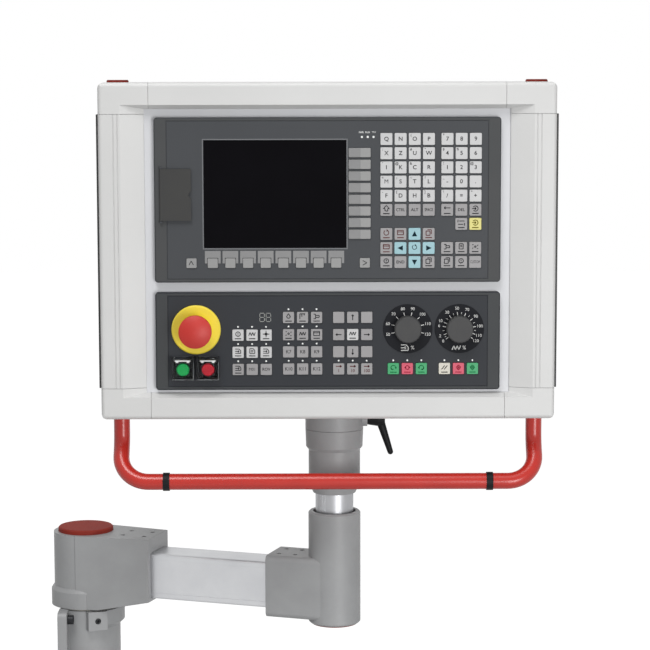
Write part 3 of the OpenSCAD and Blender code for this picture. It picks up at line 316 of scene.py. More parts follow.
class Finishes:
    """Every finish of the panel and its arm."""

    # Die-cast aluminium under a satin grey coat: even, with a fine orange peel
    GREY_CASTING = Finish(
        "Die_cast_aluminium_grey_coat", "979899", "9E9FA0", Surface.CAST,
        grain_mm=1.6, bump_um=40, rough=0.42, rough_swing=0.08, cloud_mm=45, edge_mm=0.9,
    )
    # Moulded ABS: dull red, a fine spark-eroded grain
    RED_CAP = Finish(
        "ABS_red_moulded", "8A2E22", "812920", Surface.MOULDED,
        grain_mm=0.7, bump_um=18, rough=0.7, rough_swing=0.06, cloud_mm=25,
        ior=1.3, edge_mm=0.6,
    )
    # Anodised extrusion: pale metal with lines along its length
    ALUMINIUM = Finish(
        "Anodised_aluminium_extruded", "C6C7C9", "BCBDC0", Surface.DRAWN,
        grain_mm=0.9, bump_um=12, rough=0.38, rough_swing=0.1, cloud_mm=70,
        metallic=1.0, run=Run.ALONG_X,
    )
    # The same extrusion standing upright; its base colour is darker than the arm's as painted
    # shade
    ALUMINIUM_TUBE_PAINTED_SHADE = Finish(
        "Anodised_aluminium_tube_painted_shade", "ABACAE", "A2A3A6", Surface.DRAWN,
        grain_mm=0.9, bump_um=12, rough=0.4, rough_swing=0.1, cloud_mm=70,
        metallic=1.0, run=Run.ALONG_Z,
    )
    # Acetal: pale and waxy
    BEARING = Finish(
        "Acetal_turned", "E6E2D6", "DCD7C8", Surface.TURNED,
        grain_mm=1.2, bump_um=8, rough=0.4, rough_swing=0.06,
    )
    # Blackened steel: oily black with a faint sheen
    DARK_STEEL = Finish(
        "Steel_blackened", "26272A", "1D1E20", Surface.TURNED,
        grain_mm=0.8, bump_um=10, rough=0.42, rough_swing=0.1, cloud_mm=20, metallic=0.6,
    )
    # Zinc-plated steel: bright and a little cloudy
    BRIGHT_STEEL = Finish(
        "Steel_zinc_plated", "B9BBBE", "A9ACB2", Surface.TURNED,
        grain_mm=0.8, bump_um=8, rough=0.3, rough_swing=0.08, cloud_mm=12, metallic=1.0,
    )
    # Glass-filled nylon: black with a slightly rough skin
    BLACK_PLASTIC = Finish(
        "Nylon_glass_filled", "101113", "141517", Surface.MOULDED,
        grain_mm=0.6, bump_um=22, rough=0.5, rough_swing=0.08, cloud_mm=20, ior=1.25,
    )
    # Powder coat on extruded aluminium: pale grey, satin
    FRAME_PAINT = Finish(
        "Powder_coat_light_grey", "D4D4D3", "D0D0CF", Surface.POWDER,
        grain_mm=1.5, bump_um=30, rough=0.46, rough_swing=0.06, cloud_mm=120, edge_mm=0.8,
    )
    # The front plate's coat is smoother and a touch cooler
    PLATE_PAINT = Finish(
        "Powder_coat_cool_white", "D6D7DA", "D3D4D7", Surface.POWDER,
        grain_mm=1.2, bump_um=18, rough=0.5, rough_swing=0.05, cloud_mm=140,
    )
    # Sheet steel with the frame's coat
    REAR_PAINT = Finish(
        "Sheet_steel_coated", "D2D2D1", "CDCDCC", Surface.POWDER,
        grain_mm=1.6, bump_um=30, rough=0.5, rough_swing=0.06, cloud_mm=120,
    )
    # Extruded soft PVC: dull black
    BLACK_TRIM = Finish(
        "PVC_trim_extruded", "1A1A1B", "202021", Surface.DRAWN,
        grain_mm=0.8, bump_um=15, rough=0.55, rough_swing=0.08, cloud_mm=30,
        run=Run.ALONG_Z,
    )
    # Powder coat on steel tube: signal red, semi gloss
    RAIL_PAINT = Finish(
        "Powder_coat_signal_red", "C0281C", "B82419", Surface.POWDER,
        grain_mm=1.4, bump_um=2, rough=0.24, rough_swing=0.02, cloud_mm=50,
    )
    BEZEL = foil("dark_grey", "46484B", "494B4E", 0.7)
    # The lower unit's foil is darker than the upper one's
    BEZEL_LOW = foil("charcoal", "323438", "35373B", 0.7)
    # Galvanised sheet: zinc spangle
    CASING = Finish(
        "Galvanised_sheet", "A6A9AC", "B7BABD", Surface.DRAWN,
        grain_mm=6.0, bump_um=6, rough=0.4, rough_swing=0.1, cloud_mm=9, metallic=1.0,
    )
    # Anti-reflection coated glass over a dark display: hardly any mirror image, so a low IOR
    SCREEN = Finish(
        "Display_glass_anti_glare", "08070A", "0B0A0E", Surface.GLAZED,
        grain_mm=0.5, bump_um=2, rough=0.14, rough_swing=0.03, cloud_mm=90, ior=1.12,
    )
    # Moulded ABS cover of the interfaces: dark grey, low sheen
    COVER = Finish(
        "ABS_dark_grey_moulded", "424241", "3F3F3F", Surface.MOULDED,
        grain_mm=0.8, bump_um=18, rough=0.55, rough_swing=0.06, cloud_mm=50,
        ior=1.25, edge_mm=0.6,
    )
    WHITE_KEY = key_foil("white", "C2C2C3", "C6C6C6")
    GREY_KEY = key_foil("grey", "929091", "969495")
    BLUE_KEY = key_foil("light_blue", "92BAC2", "97BEC6")
    SOFT_KEY = key_foil("softkey", "8E8E8E", "929291")
    YELLOW_KEY = key_foil("yellow", "D6CD78", "DAD281")
    GREEN_KEY = key_foil("green", "2B995E", "2F9D63")
    RED_KEY = key_foil("pink_red", "CB4960", "CF4F67")
    CREAM_KEY = key_foil("cream", "D0CBBE", "D4D0C5")
    # Printed label field of a softkey: flatter than the caps
    SOFT_PLATE = Finish(
        "Key_foil_softkey_field", "848484", "808081", Surface.PRINTED,
        grain_mm=1.0, bump_um=8, rough=0.48, rough_swing=0.05, cloud_mm=40,
    )
    # Moulded polycarbonate of the emergency stop: glossy collar, duller head
    STOP_YELLOW = Finish(
        "Polycarbonate_yellow", "F2DA3C", "EED638", Surface.MOULDED,
        grain_mm=0.9, bump_um=8, rough=0.3, rough_swing=0.05, cloud_mm=30,
        coat=0.2, edge_mm=0.6,
    )
    STOP_RED = Finish(
        "Polycarbonate_red", "BE2E26", "B62922", Surface.MOULDED,
        grain_mm=0.9, bump_um=8, rough=0.5, rough_swing=0.05, cloud_mm=30, edge_mm=0.8,
    )
    # Moulded polyamide of plunger and guards: black, low sheen
    STEM = Finish(
        "Polyamide_black", "17171A", "1B1B1E", Surface.MOULDED,
        grain_mm=0.6, bump_um=12, rough=0.45, rough_swing=0.06, cloud_mm=20, ior=1.25,
    )
    # Lens caps of the push buttons: clean colour, glossy
    BUTTON_GREEN = Finish(
        "Polycarbonate_green", "17A552", "149B4B", Surface.MOULDED,
        grain_mm=0.9, bump_um=8, rough=0.3, rough_swing=0.05, cloud_mm=20, ior=1.3,
    )
    BUTTON_RED = Finish(
        "Polycarbonate_signal_red", "B81A2A", "AE1525", Surface.MOULDED,
        grain_mm=0.9, bump_um=8, rough=0.3, rough_swing=0.05, cloud_mm=20, ior=1.3,
    )
    # Clear moulded lid: lightly scratched, so its gloss varies
    CLEAR_LID = Finish(
        "Polycarbonate_clear", "F2F4F4", "EDF0F0", Surface.GLAZED,
        grain_mm=3.0, bump_um=1, rough=0.04, rough_swing=0.02, cloud_mm=20,
        transmission=1.0, ior=1.12, edge_mm=0.2,
    )
    # Dial plates: printed foil, darker than the bezel
    DIAL = Finish(
        "Printed_foil_black", "18191D", "1B1C20", Surface.PRINTED,
        grain_mm=0.9, bump_um=8, rough=0.6, rough_swing=0.05, cloud_mm=60, ior=1.2,
    )
    # Moulded ABS of the override knobs: mid grey, low sheen
    KNOB = Finish(
        "ABS_knob_grey", "4A4A4A", "464647", Surface.MOULDED,
        grain_mm=0.8, bump_um=12, rough=0.5, rough_swing=0.06, cloud_mm=20,
        ior=1.25, edge_mm=0.5,
    )
    INK_DARK = ink("dark_grey", "242527", "2A2B2D")
    INK_WHITE = ink("white", "E2E2E0", "DADAD8")
    INK_NAVY = ink("navy", "0C222B", "112831")
    INK_MAROON = ink("maroon", "5E3231", "653836")
    INK_OLIVE = ink("olive", "6A6018", "71671E")
    INK_FOREST = ink("forest", "0F6A3A", "147041")
    INK_WINE = ink("wine", "9C2439", "A52A40")
    # Each foil's rim is a shade lighter than its field
    RIM = foil("rim", "484A4B", "4C4D4E")
    RIM_LOW = foil("rim_low", "414345", "454748")
    # Painted highlight, mid grey: a line round the display where the bezel's chamfer catches
    # light, and the bottom and right edges of the guards' tops where light catches them
    FRAME_LINE = Finish(
        "Painted_edge_highlight", "6C6D70", "686A6D", Surface.PRINTED,
        grain_mm=0.8, bump_um=3, rough=0.5, rough_swing=0.05, cloud_mm=40,
    )
    # Small lamp lenses and hinge clips: bright white, glossy
    LAMP_WHITE = Finish(
        "Polycarbonate_lamp_white", "F1F2F0", "E8EAE8", Surface.GLAZED,
        grain_mm=0.8, bump_um=3, rough=0.3, rough_swing=0.05, cloud_mm=20,
    )
    # Segments of the number display: unlit, pale grey
    SEGMENT = Finish(
        "Display_segment_unlit", "C2C4BF", "C8CAC5", Surface.PRINTED,
        grain_mm=0.8, bump_um=3, rough=0.4, rough_swing=0.05, cloud_mm=20,
    )


class Assembly:
    """A sub-assembly of the part: finishes for its CAD nodes, and pieces added to them."""

    name: str = "assembly"
    coats: dict[str, Finish] = {}

    def dress(self) -> None:
        """Gives each CAD node of this assembly its finish."""
        for node_name, finish in self.coats.items():
            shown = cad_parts[node_name]
            shown.data.materials.clear()
            shown.data.materials.append(finish.material())
        LOG.info("%s: %d nodes dressed", self.name, len(self.coats))

    def build(self) -> None:
        """Adds the pieces that the solids leave to the looks."""

    def piece(
        self, name: str, mesh: bmesh.types.BMesh, finish: Finish, body: str, slot: str
    ) -> None:
        """Makes a piece from a mesh, sets it on a body and reports it.

        Args:
            name: Name of the piece.
            mesh: Mesh in metres, in the row frame. It is freed here.
            finish: What the piece is made of.
            body: CAD body that the piece rides on.
            slot: Name of a material slot. It is not used.
        """
        data = bpy.data.meshes.new(name)
        mesh.to_mesh(data)
        mesh.free()
        made = bpy.data.objects.new(name, data)
        bpy.context.scene.collection.objects.link(made)
        data.materials.append(finish.material())
        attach(made, body)
        LOG.info("%s: %s, %d faces", self.name, name, len(data.polygons))


@dataclass
class Face:
    """Front of a panel unit: u runs right and v down from its top left corner, in mm.

    A lift is the height above the unit's foil, towards the operator.
    """

    x: float
    y: float
    z: float

    @classmethod
    def of_node(cls, node_name: str, front: float) -> "Face":
        """Takes the corner from a CAD node's box.

        Args:
            node_name: Bezel of the unit.
            front: Y of the foil, in metres.

        Returns:
            The unit's face.
        """
        low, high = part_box(node_name)
        return cls(low.x, front, high.z)

    def at(self, u: float, v: float, lift: float) -> Vector:
        """Gives the point in the row frame.

        Args:
            u: Millimetres to the right.
            v: Millimetres down.
            lift: Millimetres above the foil.

        Returns:
            The point, in metres.
        """
        return Vector((self.x + u * MM, self.y - lift * MM, self.z - v * MM))


@dataclass
class Printing:
    """Raised print on one face: every shape is a thin closed prism."""

    face: Face
    lift: float
    thick: float = 0.05
    mesh: bmesh.types.BMesh = field(default_factory=bmesh.new)

    def area(self, outline: Sequence[Point], lift: Optional[float] = None) -> None:
        """Adds a filled area.

        Args:
            outline: Corners in order, in mm of the face.
            lift: Height of its underside, the printing's own if left out.
        """
        base = self.lift if lift is None else lift
        low = [self.mesh.verts.new(self.face.at(u, v, base)) for u, v in outline]
        top = [self.mesh.verts.new(self.face.at(u, v, base + self.thick)) for u, v in outline]
        self.mesh.faces.new(top)
        self.mesh.faces.new(list(reversed(low)))
        count = len(outline)
        for i in range(count):
            j = (i + 1) % count
            self.mesh.faces.new((low[i], low[j], top[j], top[i]))

    def bar(
        self, u: float, v: float, width: float, height: float, lift: Optional[float] = None
    ) -> None:
        """Adds a rectangle from its top left corner.

        Args:
            u: Left edge.
            v: Top edge.
            width: Size across.
            height: Size down.
            lift: Height of its underside.
        """
        self.area([(u, v), (u + width, v), (u + width, v + height), (u, v + height)], lift)

    def dot(self, u: float, v: float, radius: float, sides: int = 20) -> None:
        """Adds a disc.

        Args:
            u: Middle, across.
            v: Middle, down.
            radius: Its radius.
            sides: Corners of the disc.
        """
        turns = (2 * math.pi * i / sides for i in range(sides))
        self.area([(u + radius * math.cos(t), v + radius * math.sin(t)) for t in turns])

    def line(self, points: Sequence[Point], width: float) -> None:
        """Adds a polyline of straight strokes.

        Args:
            points: Corners of the line.
            width: Width of the stroke.
        """
        for (u0, v0), (u1, v1) in zip(points, points[1:]):
            run = math.hypot(u1 - u0, v1 - v0)
            across = (-(v1 - v0) / run * width / 2, (u1 - u0) / run * width / 2)
            self.area([
                (u0 + across[0], v0 + across[1]),
                (u1 + across[0], v1 + across[1]),
                (u1 - across[0], v1 - across[1]),
                (u0 - across[0], v0 - across[1]),
            ])

    def text(
        self, words: str, u: float, v: float, size: float, squeeze: float = 1.0, bold: float = 0.06
    ) -> None:
        """Adds letters, middled on a point.

        Args:
            words: What is printed.
            u: Middle, across.
            v: Middle, down.
            size: Height of the type, in mm.
            squeeze: Width of the letters against the plain ones.
            bold: Growth of the strokes to each side, in mm.
        """
        type_data = bpy.data.curves.new("type", "FONT")
        type_data.body = words
        type_data.size = size
        type_data.align_x = "CENTER"
        type_data.align_y = "CENTER"
        # Coarse curves are enough for type this small
        type_data.resolution_u = 3
        # Blender fills a grown M solid, so a word with one keeps the plain weight
        type_data.offset = 0.0 if "M" in words else bold
        type_data.extrude = self.thick / 2
        holder = bpy.data.objects.new("type", type_data)
        bpy.context.scene.collection.objects.link(holder)
        flat = holder.evaluated_get(bpy.context.evaluated_depsgraph_get()).to_mesh()
        fresh = [
            self.mesh.verts.new(
                self.face.at(u + p.co.x * squeeze, v - p.co.y, self.lift + self.thick / 2 + p.co.z)
            )
            for p in flat.vertices
        ]
        for polygon in flat.polygons:
            corners = [fresh[i] for i in polygon.vertices]
            if len(set(corners)) == len(corners) and self.mesh.faces.get(corners) is None:
                self.mesh.faces.new(corners)
        bpy.data.objects.remove(holder)
        bpy.data.curves.remove(type_data)

    def sign(self, name: str, u: float, v: float, size: float, width: float) -> None:
        """Adds a small drawn sign.

        Args:
            name: Which of SIGNS.
            u: Middle, across.
            v: Middle, down.
            size: Half the side of the square.
            width: Width of the strokes.
        """
        for stroke in SIGNS[name]:
            self.line([(u + size * a, v + size * b) for a, b in stroke], width)


def ring_points(
    radius: float, sides: int = 12, start: float = 0.0, end: float = 360.0
) -> list[Point]:
    """Gives the points of an arc in a sign's square.

    Args:
        radius: Its radius.
        sides: Number of strokes.
        start: First angle, clockwise from straight up, in degrees.
        end: Last angle.

    Returns:
        The points in order.
    """
    turns = [math.radians(start + (end - start) * i / sides) for i in range(sides + 1)]
    return [(radius * math.sin(t), -radius * math.cos(t)) for t in turns]


# Strokes of each drawn sign, in a square from -1 to 1 with down positive
SIGNS: dict[str, list[list[Point]]] = {
    "shift": [
        [(0, -1), (0.9, 0), (0.4, 0), (0.4, 0.7), (-0.4, 0.7), (-0.4, 0), (-0.9, 0), (0, -1)],
    ],
    "back": [[(1, -0.2), (-0.9, -0.2)], [(-0.5, -0.6), (-0.9, -0.2), (-0.5, 0.2)]],
    "tab": [
        [(1, -0.5), (-0.6, -0.5)],
        [(-1, -0.9), (-1, -0.1)],
        [(-1, 0.5), (0.6, 0.5)],
        [(1, 0.1), (1, 0.9)],
    ],
    "insert": [
        ring_points(0.8, 12, -60, 230),
        [(-1, 0), (0.2, 0)],
        [(-0.2, -0.4), (0.2, 0), (-0.2, 0.4)],
    ],
    "turn": [ring_points(0.75, 14, 30, 330), [(0.1, -1), (0.45, -0.65), (0.0, -0.45)]],
    "page": [
        [(-0.6, -0.9), (0.6, -0.9), (0.6, 0.7), (-0.6, 0.7), (-0.6, -0.9)],
        [(-0.3, -0.4), (0.3, -0.4)],
        [(-0.3, 0.0), (0.3, 0.0)],
    ],
    "pages": [
        [(-0.8, -0.5), (0.4, -0.5), (0.4, 0.8), (-0.8, 0.8), (-0.8, -0.5)],
        [(-0.4, -0.9), (0.8, -0.9), (0.8, 0.4)],
    ],
    "bell": [ring_points(0.7, 12), [(0, -0.4), (0, 0.15)], [(0, 0.35), (0, 0.5)]],
    "window": [
        [(-0.9, -0.7), (0.9, -0.7), (0.9, 0.6), (-0.9, 0.6), (-0.9, -0.7)],
        [(-0.9, -0.25), (0.9, -0.25)],
    ],
    "chuck": [
        [(-0.9, -0.7), (-0.3, -0.7), (-0.3, 0.7), (-0.9, 0.7)],
        [(-0.3, -0.3), (0.8, -0.3), (0.8, 0.3), (-0.3, 0.3)],
    ],
    "tool": [
        [(-0.8, 0.8), (-0.8, -0.8), (0.8, -0.8)],
        [(-0.2, -0.8), (-0.2, 0.1)],
        [(0.5, -0.8), (0.5, -0.3)],
    ],
    "drop": [[(0, -0.9), (0.5, 0.0)], ring_points(0.55, 10, 70, 290), [(-0.5, 0.0), (0, -0.9)]],
    "cross": [[(-1, 0), (1, 0)], [(0, -1), (0, 1)], ring_points(0.35, 10)],
    "wave": [[(-1, 0.5), (-0.6, -0.5), (-0.2, 0.5), (0.2, -0.5), (0.6, 0.5), (1, -0.5)]],
    "auto": [
        [(-0.9, -0.7), (0.3, -0.7), (0.8, -0.2), (0.8, 0.6), (-0.9, 0.6)],
        [(-0.9, 0), (0.3, 0)],
        [(0, -0.3), (0.3, 0), (0, 0.3)],
    ],
    "single": [
        [(-0.7, -0.8), (0.3, -0.8), (0.8, -0.3), (0.8, 0.7), (-0.7, 0.7), (-0.7, -0.8)],
        [(-0.4, -0.2), (0.4, -0.2)],
        [(-0.4, 0.2), (0.4, 0.2)],
    ],
    "dots": [
        ring_points(0.25, 8),
        [(-0.9, -0.6), (-0.5, -0.6)],
        [(0.5, 0.6), (0.9, 0.6)],
        [(-0.9, 0.6), (-0.6, 0.3)],
        [(0.6, -0.3), (0.9, -0.6)],
    ],
    "up": [[(0, 0.9), (0, -0.9)], [(-0.3, -0.4), (0, -0.9), (0.3, -0.4)]],
    "down": [[(0, -0.9), (0, 0.9)], [(-0.3, 0.4), (0, 0.9), (0.3, 0.4)]],
    "left": [[(0.9, 0), (-0.9, 0)], [(-0.4, -0.3), (-0.9, 0), (-0.4, 0.3)]],
    "right": [[(-0.9, 0), (0.9, 0)], [(0.4, -0.3), (0.9, 0), (0.4, 0.3)]],
    "slashes": [[(-0.9, 0.6), (0.1, -0.6)], [(-0.1, 0.6), (0.9, -0.6)]],
    "turn_left": [
        ring_points(0.7, 12, -150, 120),
        [(-0.75, 0.15), (-0.4, 0.65), (0.1, 0.45)],
        [(0.9, -0.2), (0.9, 0.2)],
    ],
    "turn_right": [
        ring_points(0.7, 12, -120, 150),
        [(0.75, 0.15), (0.4, 0.65), (-0.1, 0.45)],
        [(-0.9, -0.2), (-0.9, 0.2)],
    ],
    "turn_stop": [ring_points(0.6, 12), [(-0.9, 0.0), (-0.3, 0.0)], [(0.3, 0.0), (0.9, 0.0)]],
    "cycle": [
        [(0, -0.8), (0.7, 0), (0, 0.8), (-0.7, 0), (0, -0.8)],
        ring_points(0.25, 8),
    ],
}


@dataclass
class SupportArm(Assembly):
    """Wall bracket, shoulder, arm, elbow, upright tube and coupling. Sizes in mm."""

    name: str = "support arm"
    flange_front: float = 12.0
    bolt_span: Point = (104.0, 98.0)
    bolt_r: float = 6.0
    bolt_h: float = 8.0
    bolt_chamfer: float = 0.6
    socket_across: float = 6.0
    socket_depth: float = 4.0
    coats: dict[str, Finish] = field(default_factory=lambda: {
        "post_bracket": Finishes.GREY_CASTING,
        "post_grub_screw": Finishes.DARK_STEEL,
        "shoulder_bush": Finishes.BEARING,
        "shoulder_housing": Finishes.GREY_CASTING,
        "shoulder_cap": Finishes.RED_CAP,
        "arm_profile": Finishes.ALUMINIUM,
        "arm_grub_screws": Finishes.DARK_STEEL,
        "elbow_housing": Finishes.GREY_CASTING,
        "elbow_cap": Finishes.RED_CAP,
        "pillar_tube": Finishes.ALUMINIUM_TUBE_PAINTED_SHADE,
        "coupling_base": Finishes.GREY_CASTING,
        "coupling_bush": Finishes.BEARING,
        "coupling_retainer": Finishes.BRIGHT_STEEL,
        "coupling_head": Finishes.GREY_CASTING,
        "coupling_screws": Finishes.BRIGHT_STEEL,
        "clamp_stud": Finishes.BRIGHT_STEEL,
        "clamp_lever": Finishes.BLACK_PLASTIC,
    })

    def build(self) -> None:
        """Adds the four wall bolts of the flange."""
        mesh = bmesh.new()
        for y in (-0.5, 0.5):
            for z in (-0.5, 0.5):
                self.add_bolt(mesh, y * self.bolt_span[0], z * self.bolt_span[1])
        bmesh.ops.recalc_face_normals(mesh, faces=mesh.faces)
        self.piece("wall_bolts", mesh, Finishes.DARK_STEEL, "post", "dark_steel")

    def add_bolt(self, mesh: bmesh.types.BMesh, y: float, z: float, sides: int = 36) -> None:
        """Adds the head of a socket head cap screw that lies along X.

        Args:
            mesh: Mesh that takes it.
            y: Its axis, in mm.
            z: Its axis, in mm.
            sides: Corners of its rings, a multiple of six.
        """
        base, top = self.flange_front, self.flange_front + self.bolt_h
        turns = [2 * math.pi * i / sides for i in range(sides)]
        flat = math.pi / 3
        hexagon = [
            self.socket_across / 2 / math.cos((t + flat / 2) % flat - flat / 2) for t in turns
        ]
        rings = [
            [
                mesh.verts.new(Vector((x, y + r * math.cos(t), z + r * math.sin(t))) * MM)
                for t, r in zip(turns, radii)
            ]
            for x, radii in (
                (base, [self.bolt_r] * sides),
                (top - self.bolt_chamfer, [self.bolt_r] * sides),
                (top, [self.bolt_r - self.bolt_chamfer] * sides),
                (top, hexagon),
                (top - self.socket_depth, hexagon),
            )
        ]
        for low, high in zip(rings, rings[1:]):
            for i in range(sides):
                j = (i + 1) % sides
                mesh.faces.new((low[i], low[j], high[j], high[i]))
        mesh.faces.new(rings[0])
        mesh.faces.new(rings[-1])


@dataclass
class Enclosure(Assembly):
    """Frame extrusions, cast corners, plates and the handrail."""

    name: str = "enclosure"
    coats: dict[str, Finish] = field(default_factory=lambda: {
        "frame_top": Finishes.FRAME_PAINT,
        "frame_bottom": Finishes.FRAME_PAINT,
        "frame_left": Finishes.FRAME_PAINT,
        "frame_right": Finishes.FRAME_PAINT,
        "corner_castings": Finishes.FRAME_PAINT,
        "corner_plugs": Finishes.RED_CAP,
        "side_strips": Finishes.BLACK_TRIM,
        "front_plate": Finishes.PLATE_PAINT,
        "rear_panel": Finishes.REAR_PAINT,
        "rear_screws": Finishes.BRIGHT_STEEL,
        "handrail": Finishes.RAIL_PAINT,
        "handrail_rings": Finishes.BLACK_PLASTIC,
    })


@dataclass
class PanelUnit(Assembly):
    """What the two panel units share: a foil with a rim, and keys with signs. Sizes in mm."""

    size: Point = (420.0, 120.0)
    key: float = 14.0
    pitch: Point = (17.0, 17.0)
    proud: float = 1.2
    rim: float = 15.0
    rim_inset: float = 1.4
    rim_band: float = 2.4
    rim_film: float = 0.04
    seam: float = 0.2
    sign_half: float = 4.0
    sign_stroke: float = 1.0
    sign_rise: float = 1.5
    underline: Point = (8.0, 1.2)
    underline_drop: float = 3.9
    word_size: float = 5.0
    word_room: float = 3.6
    word_bold: float = 0.08
    face: Face = field(init=False, repr=False)

    def find_face(self, bezel: str) -> None:
        """Takes the unit's corner from its bezel; both foils lie in the lower one's plane.

        Args:
            bezel: CAD node of the unit's bezel.
        """
        self.face = Face.of_node(bezel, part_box("machine_bezel")[0].y)

    def key_middle(self, start: Point, column: int, row: int) -> Point:
        """Gives the middle of a key.

        Args:
            start: Corner of the block of keys.
            column: Column in the block.
            row: Row in the block.

        Returns:
            Its u and v.
        """
        return (
            start[0] + column * self.pitch[0] + self.key / 2,
            start[1] + row * self.pitch[1] + self.key / 2,
        )

    def mark(self, ink_mesh: Printing, sign: str, place: Point) -> None:
        """Prints a drawn sign over a short word line, or else a word.

        Args:
            ink_mesh: Printing that takes it.
            sign: Name of a drawn sign, or a word.
            place: Middle of the key.
        """
        u, v = place
        if sign in SIGNS:
            ink_mesh.sign(sign, u, v - self.sign_rise, self.sign_half, self.sign_stroke)
            ink_mesh.bar(u - self.underline[0] / 2, v + self.underline_drop, *self.underline)
        else:
            squeeze = min(1.0, self.word_room / len(sign))
            ink_mesh.text(sign, u, v, self.word_size, squeeze, self.word_bold)

    def print_rim(self, name: str, finish: Finish) -> None:
        """Prints the rim of the foil, which is lighter than its field.

        Args:
            name: Name of the piece.
            finish: The rim's foil.
        """
        wide, high = self.size
        inset, band = self.rim_inset, self.rim_band
        side = self.rim - inset - self.seam
        rim = Printing(self.face, 0.0, self.rim_film)
        for u in (inset, wide - self.rim + self.seam):
            rim.bar(u, inset, side, high - 2 * inset)
        for v in (inset, high - inset - band):
            rim.bar(self.rim, v, wide - 2 * self.rim, band)
        self.piece(name, rim.mesh, finish, "panel", "bezel")


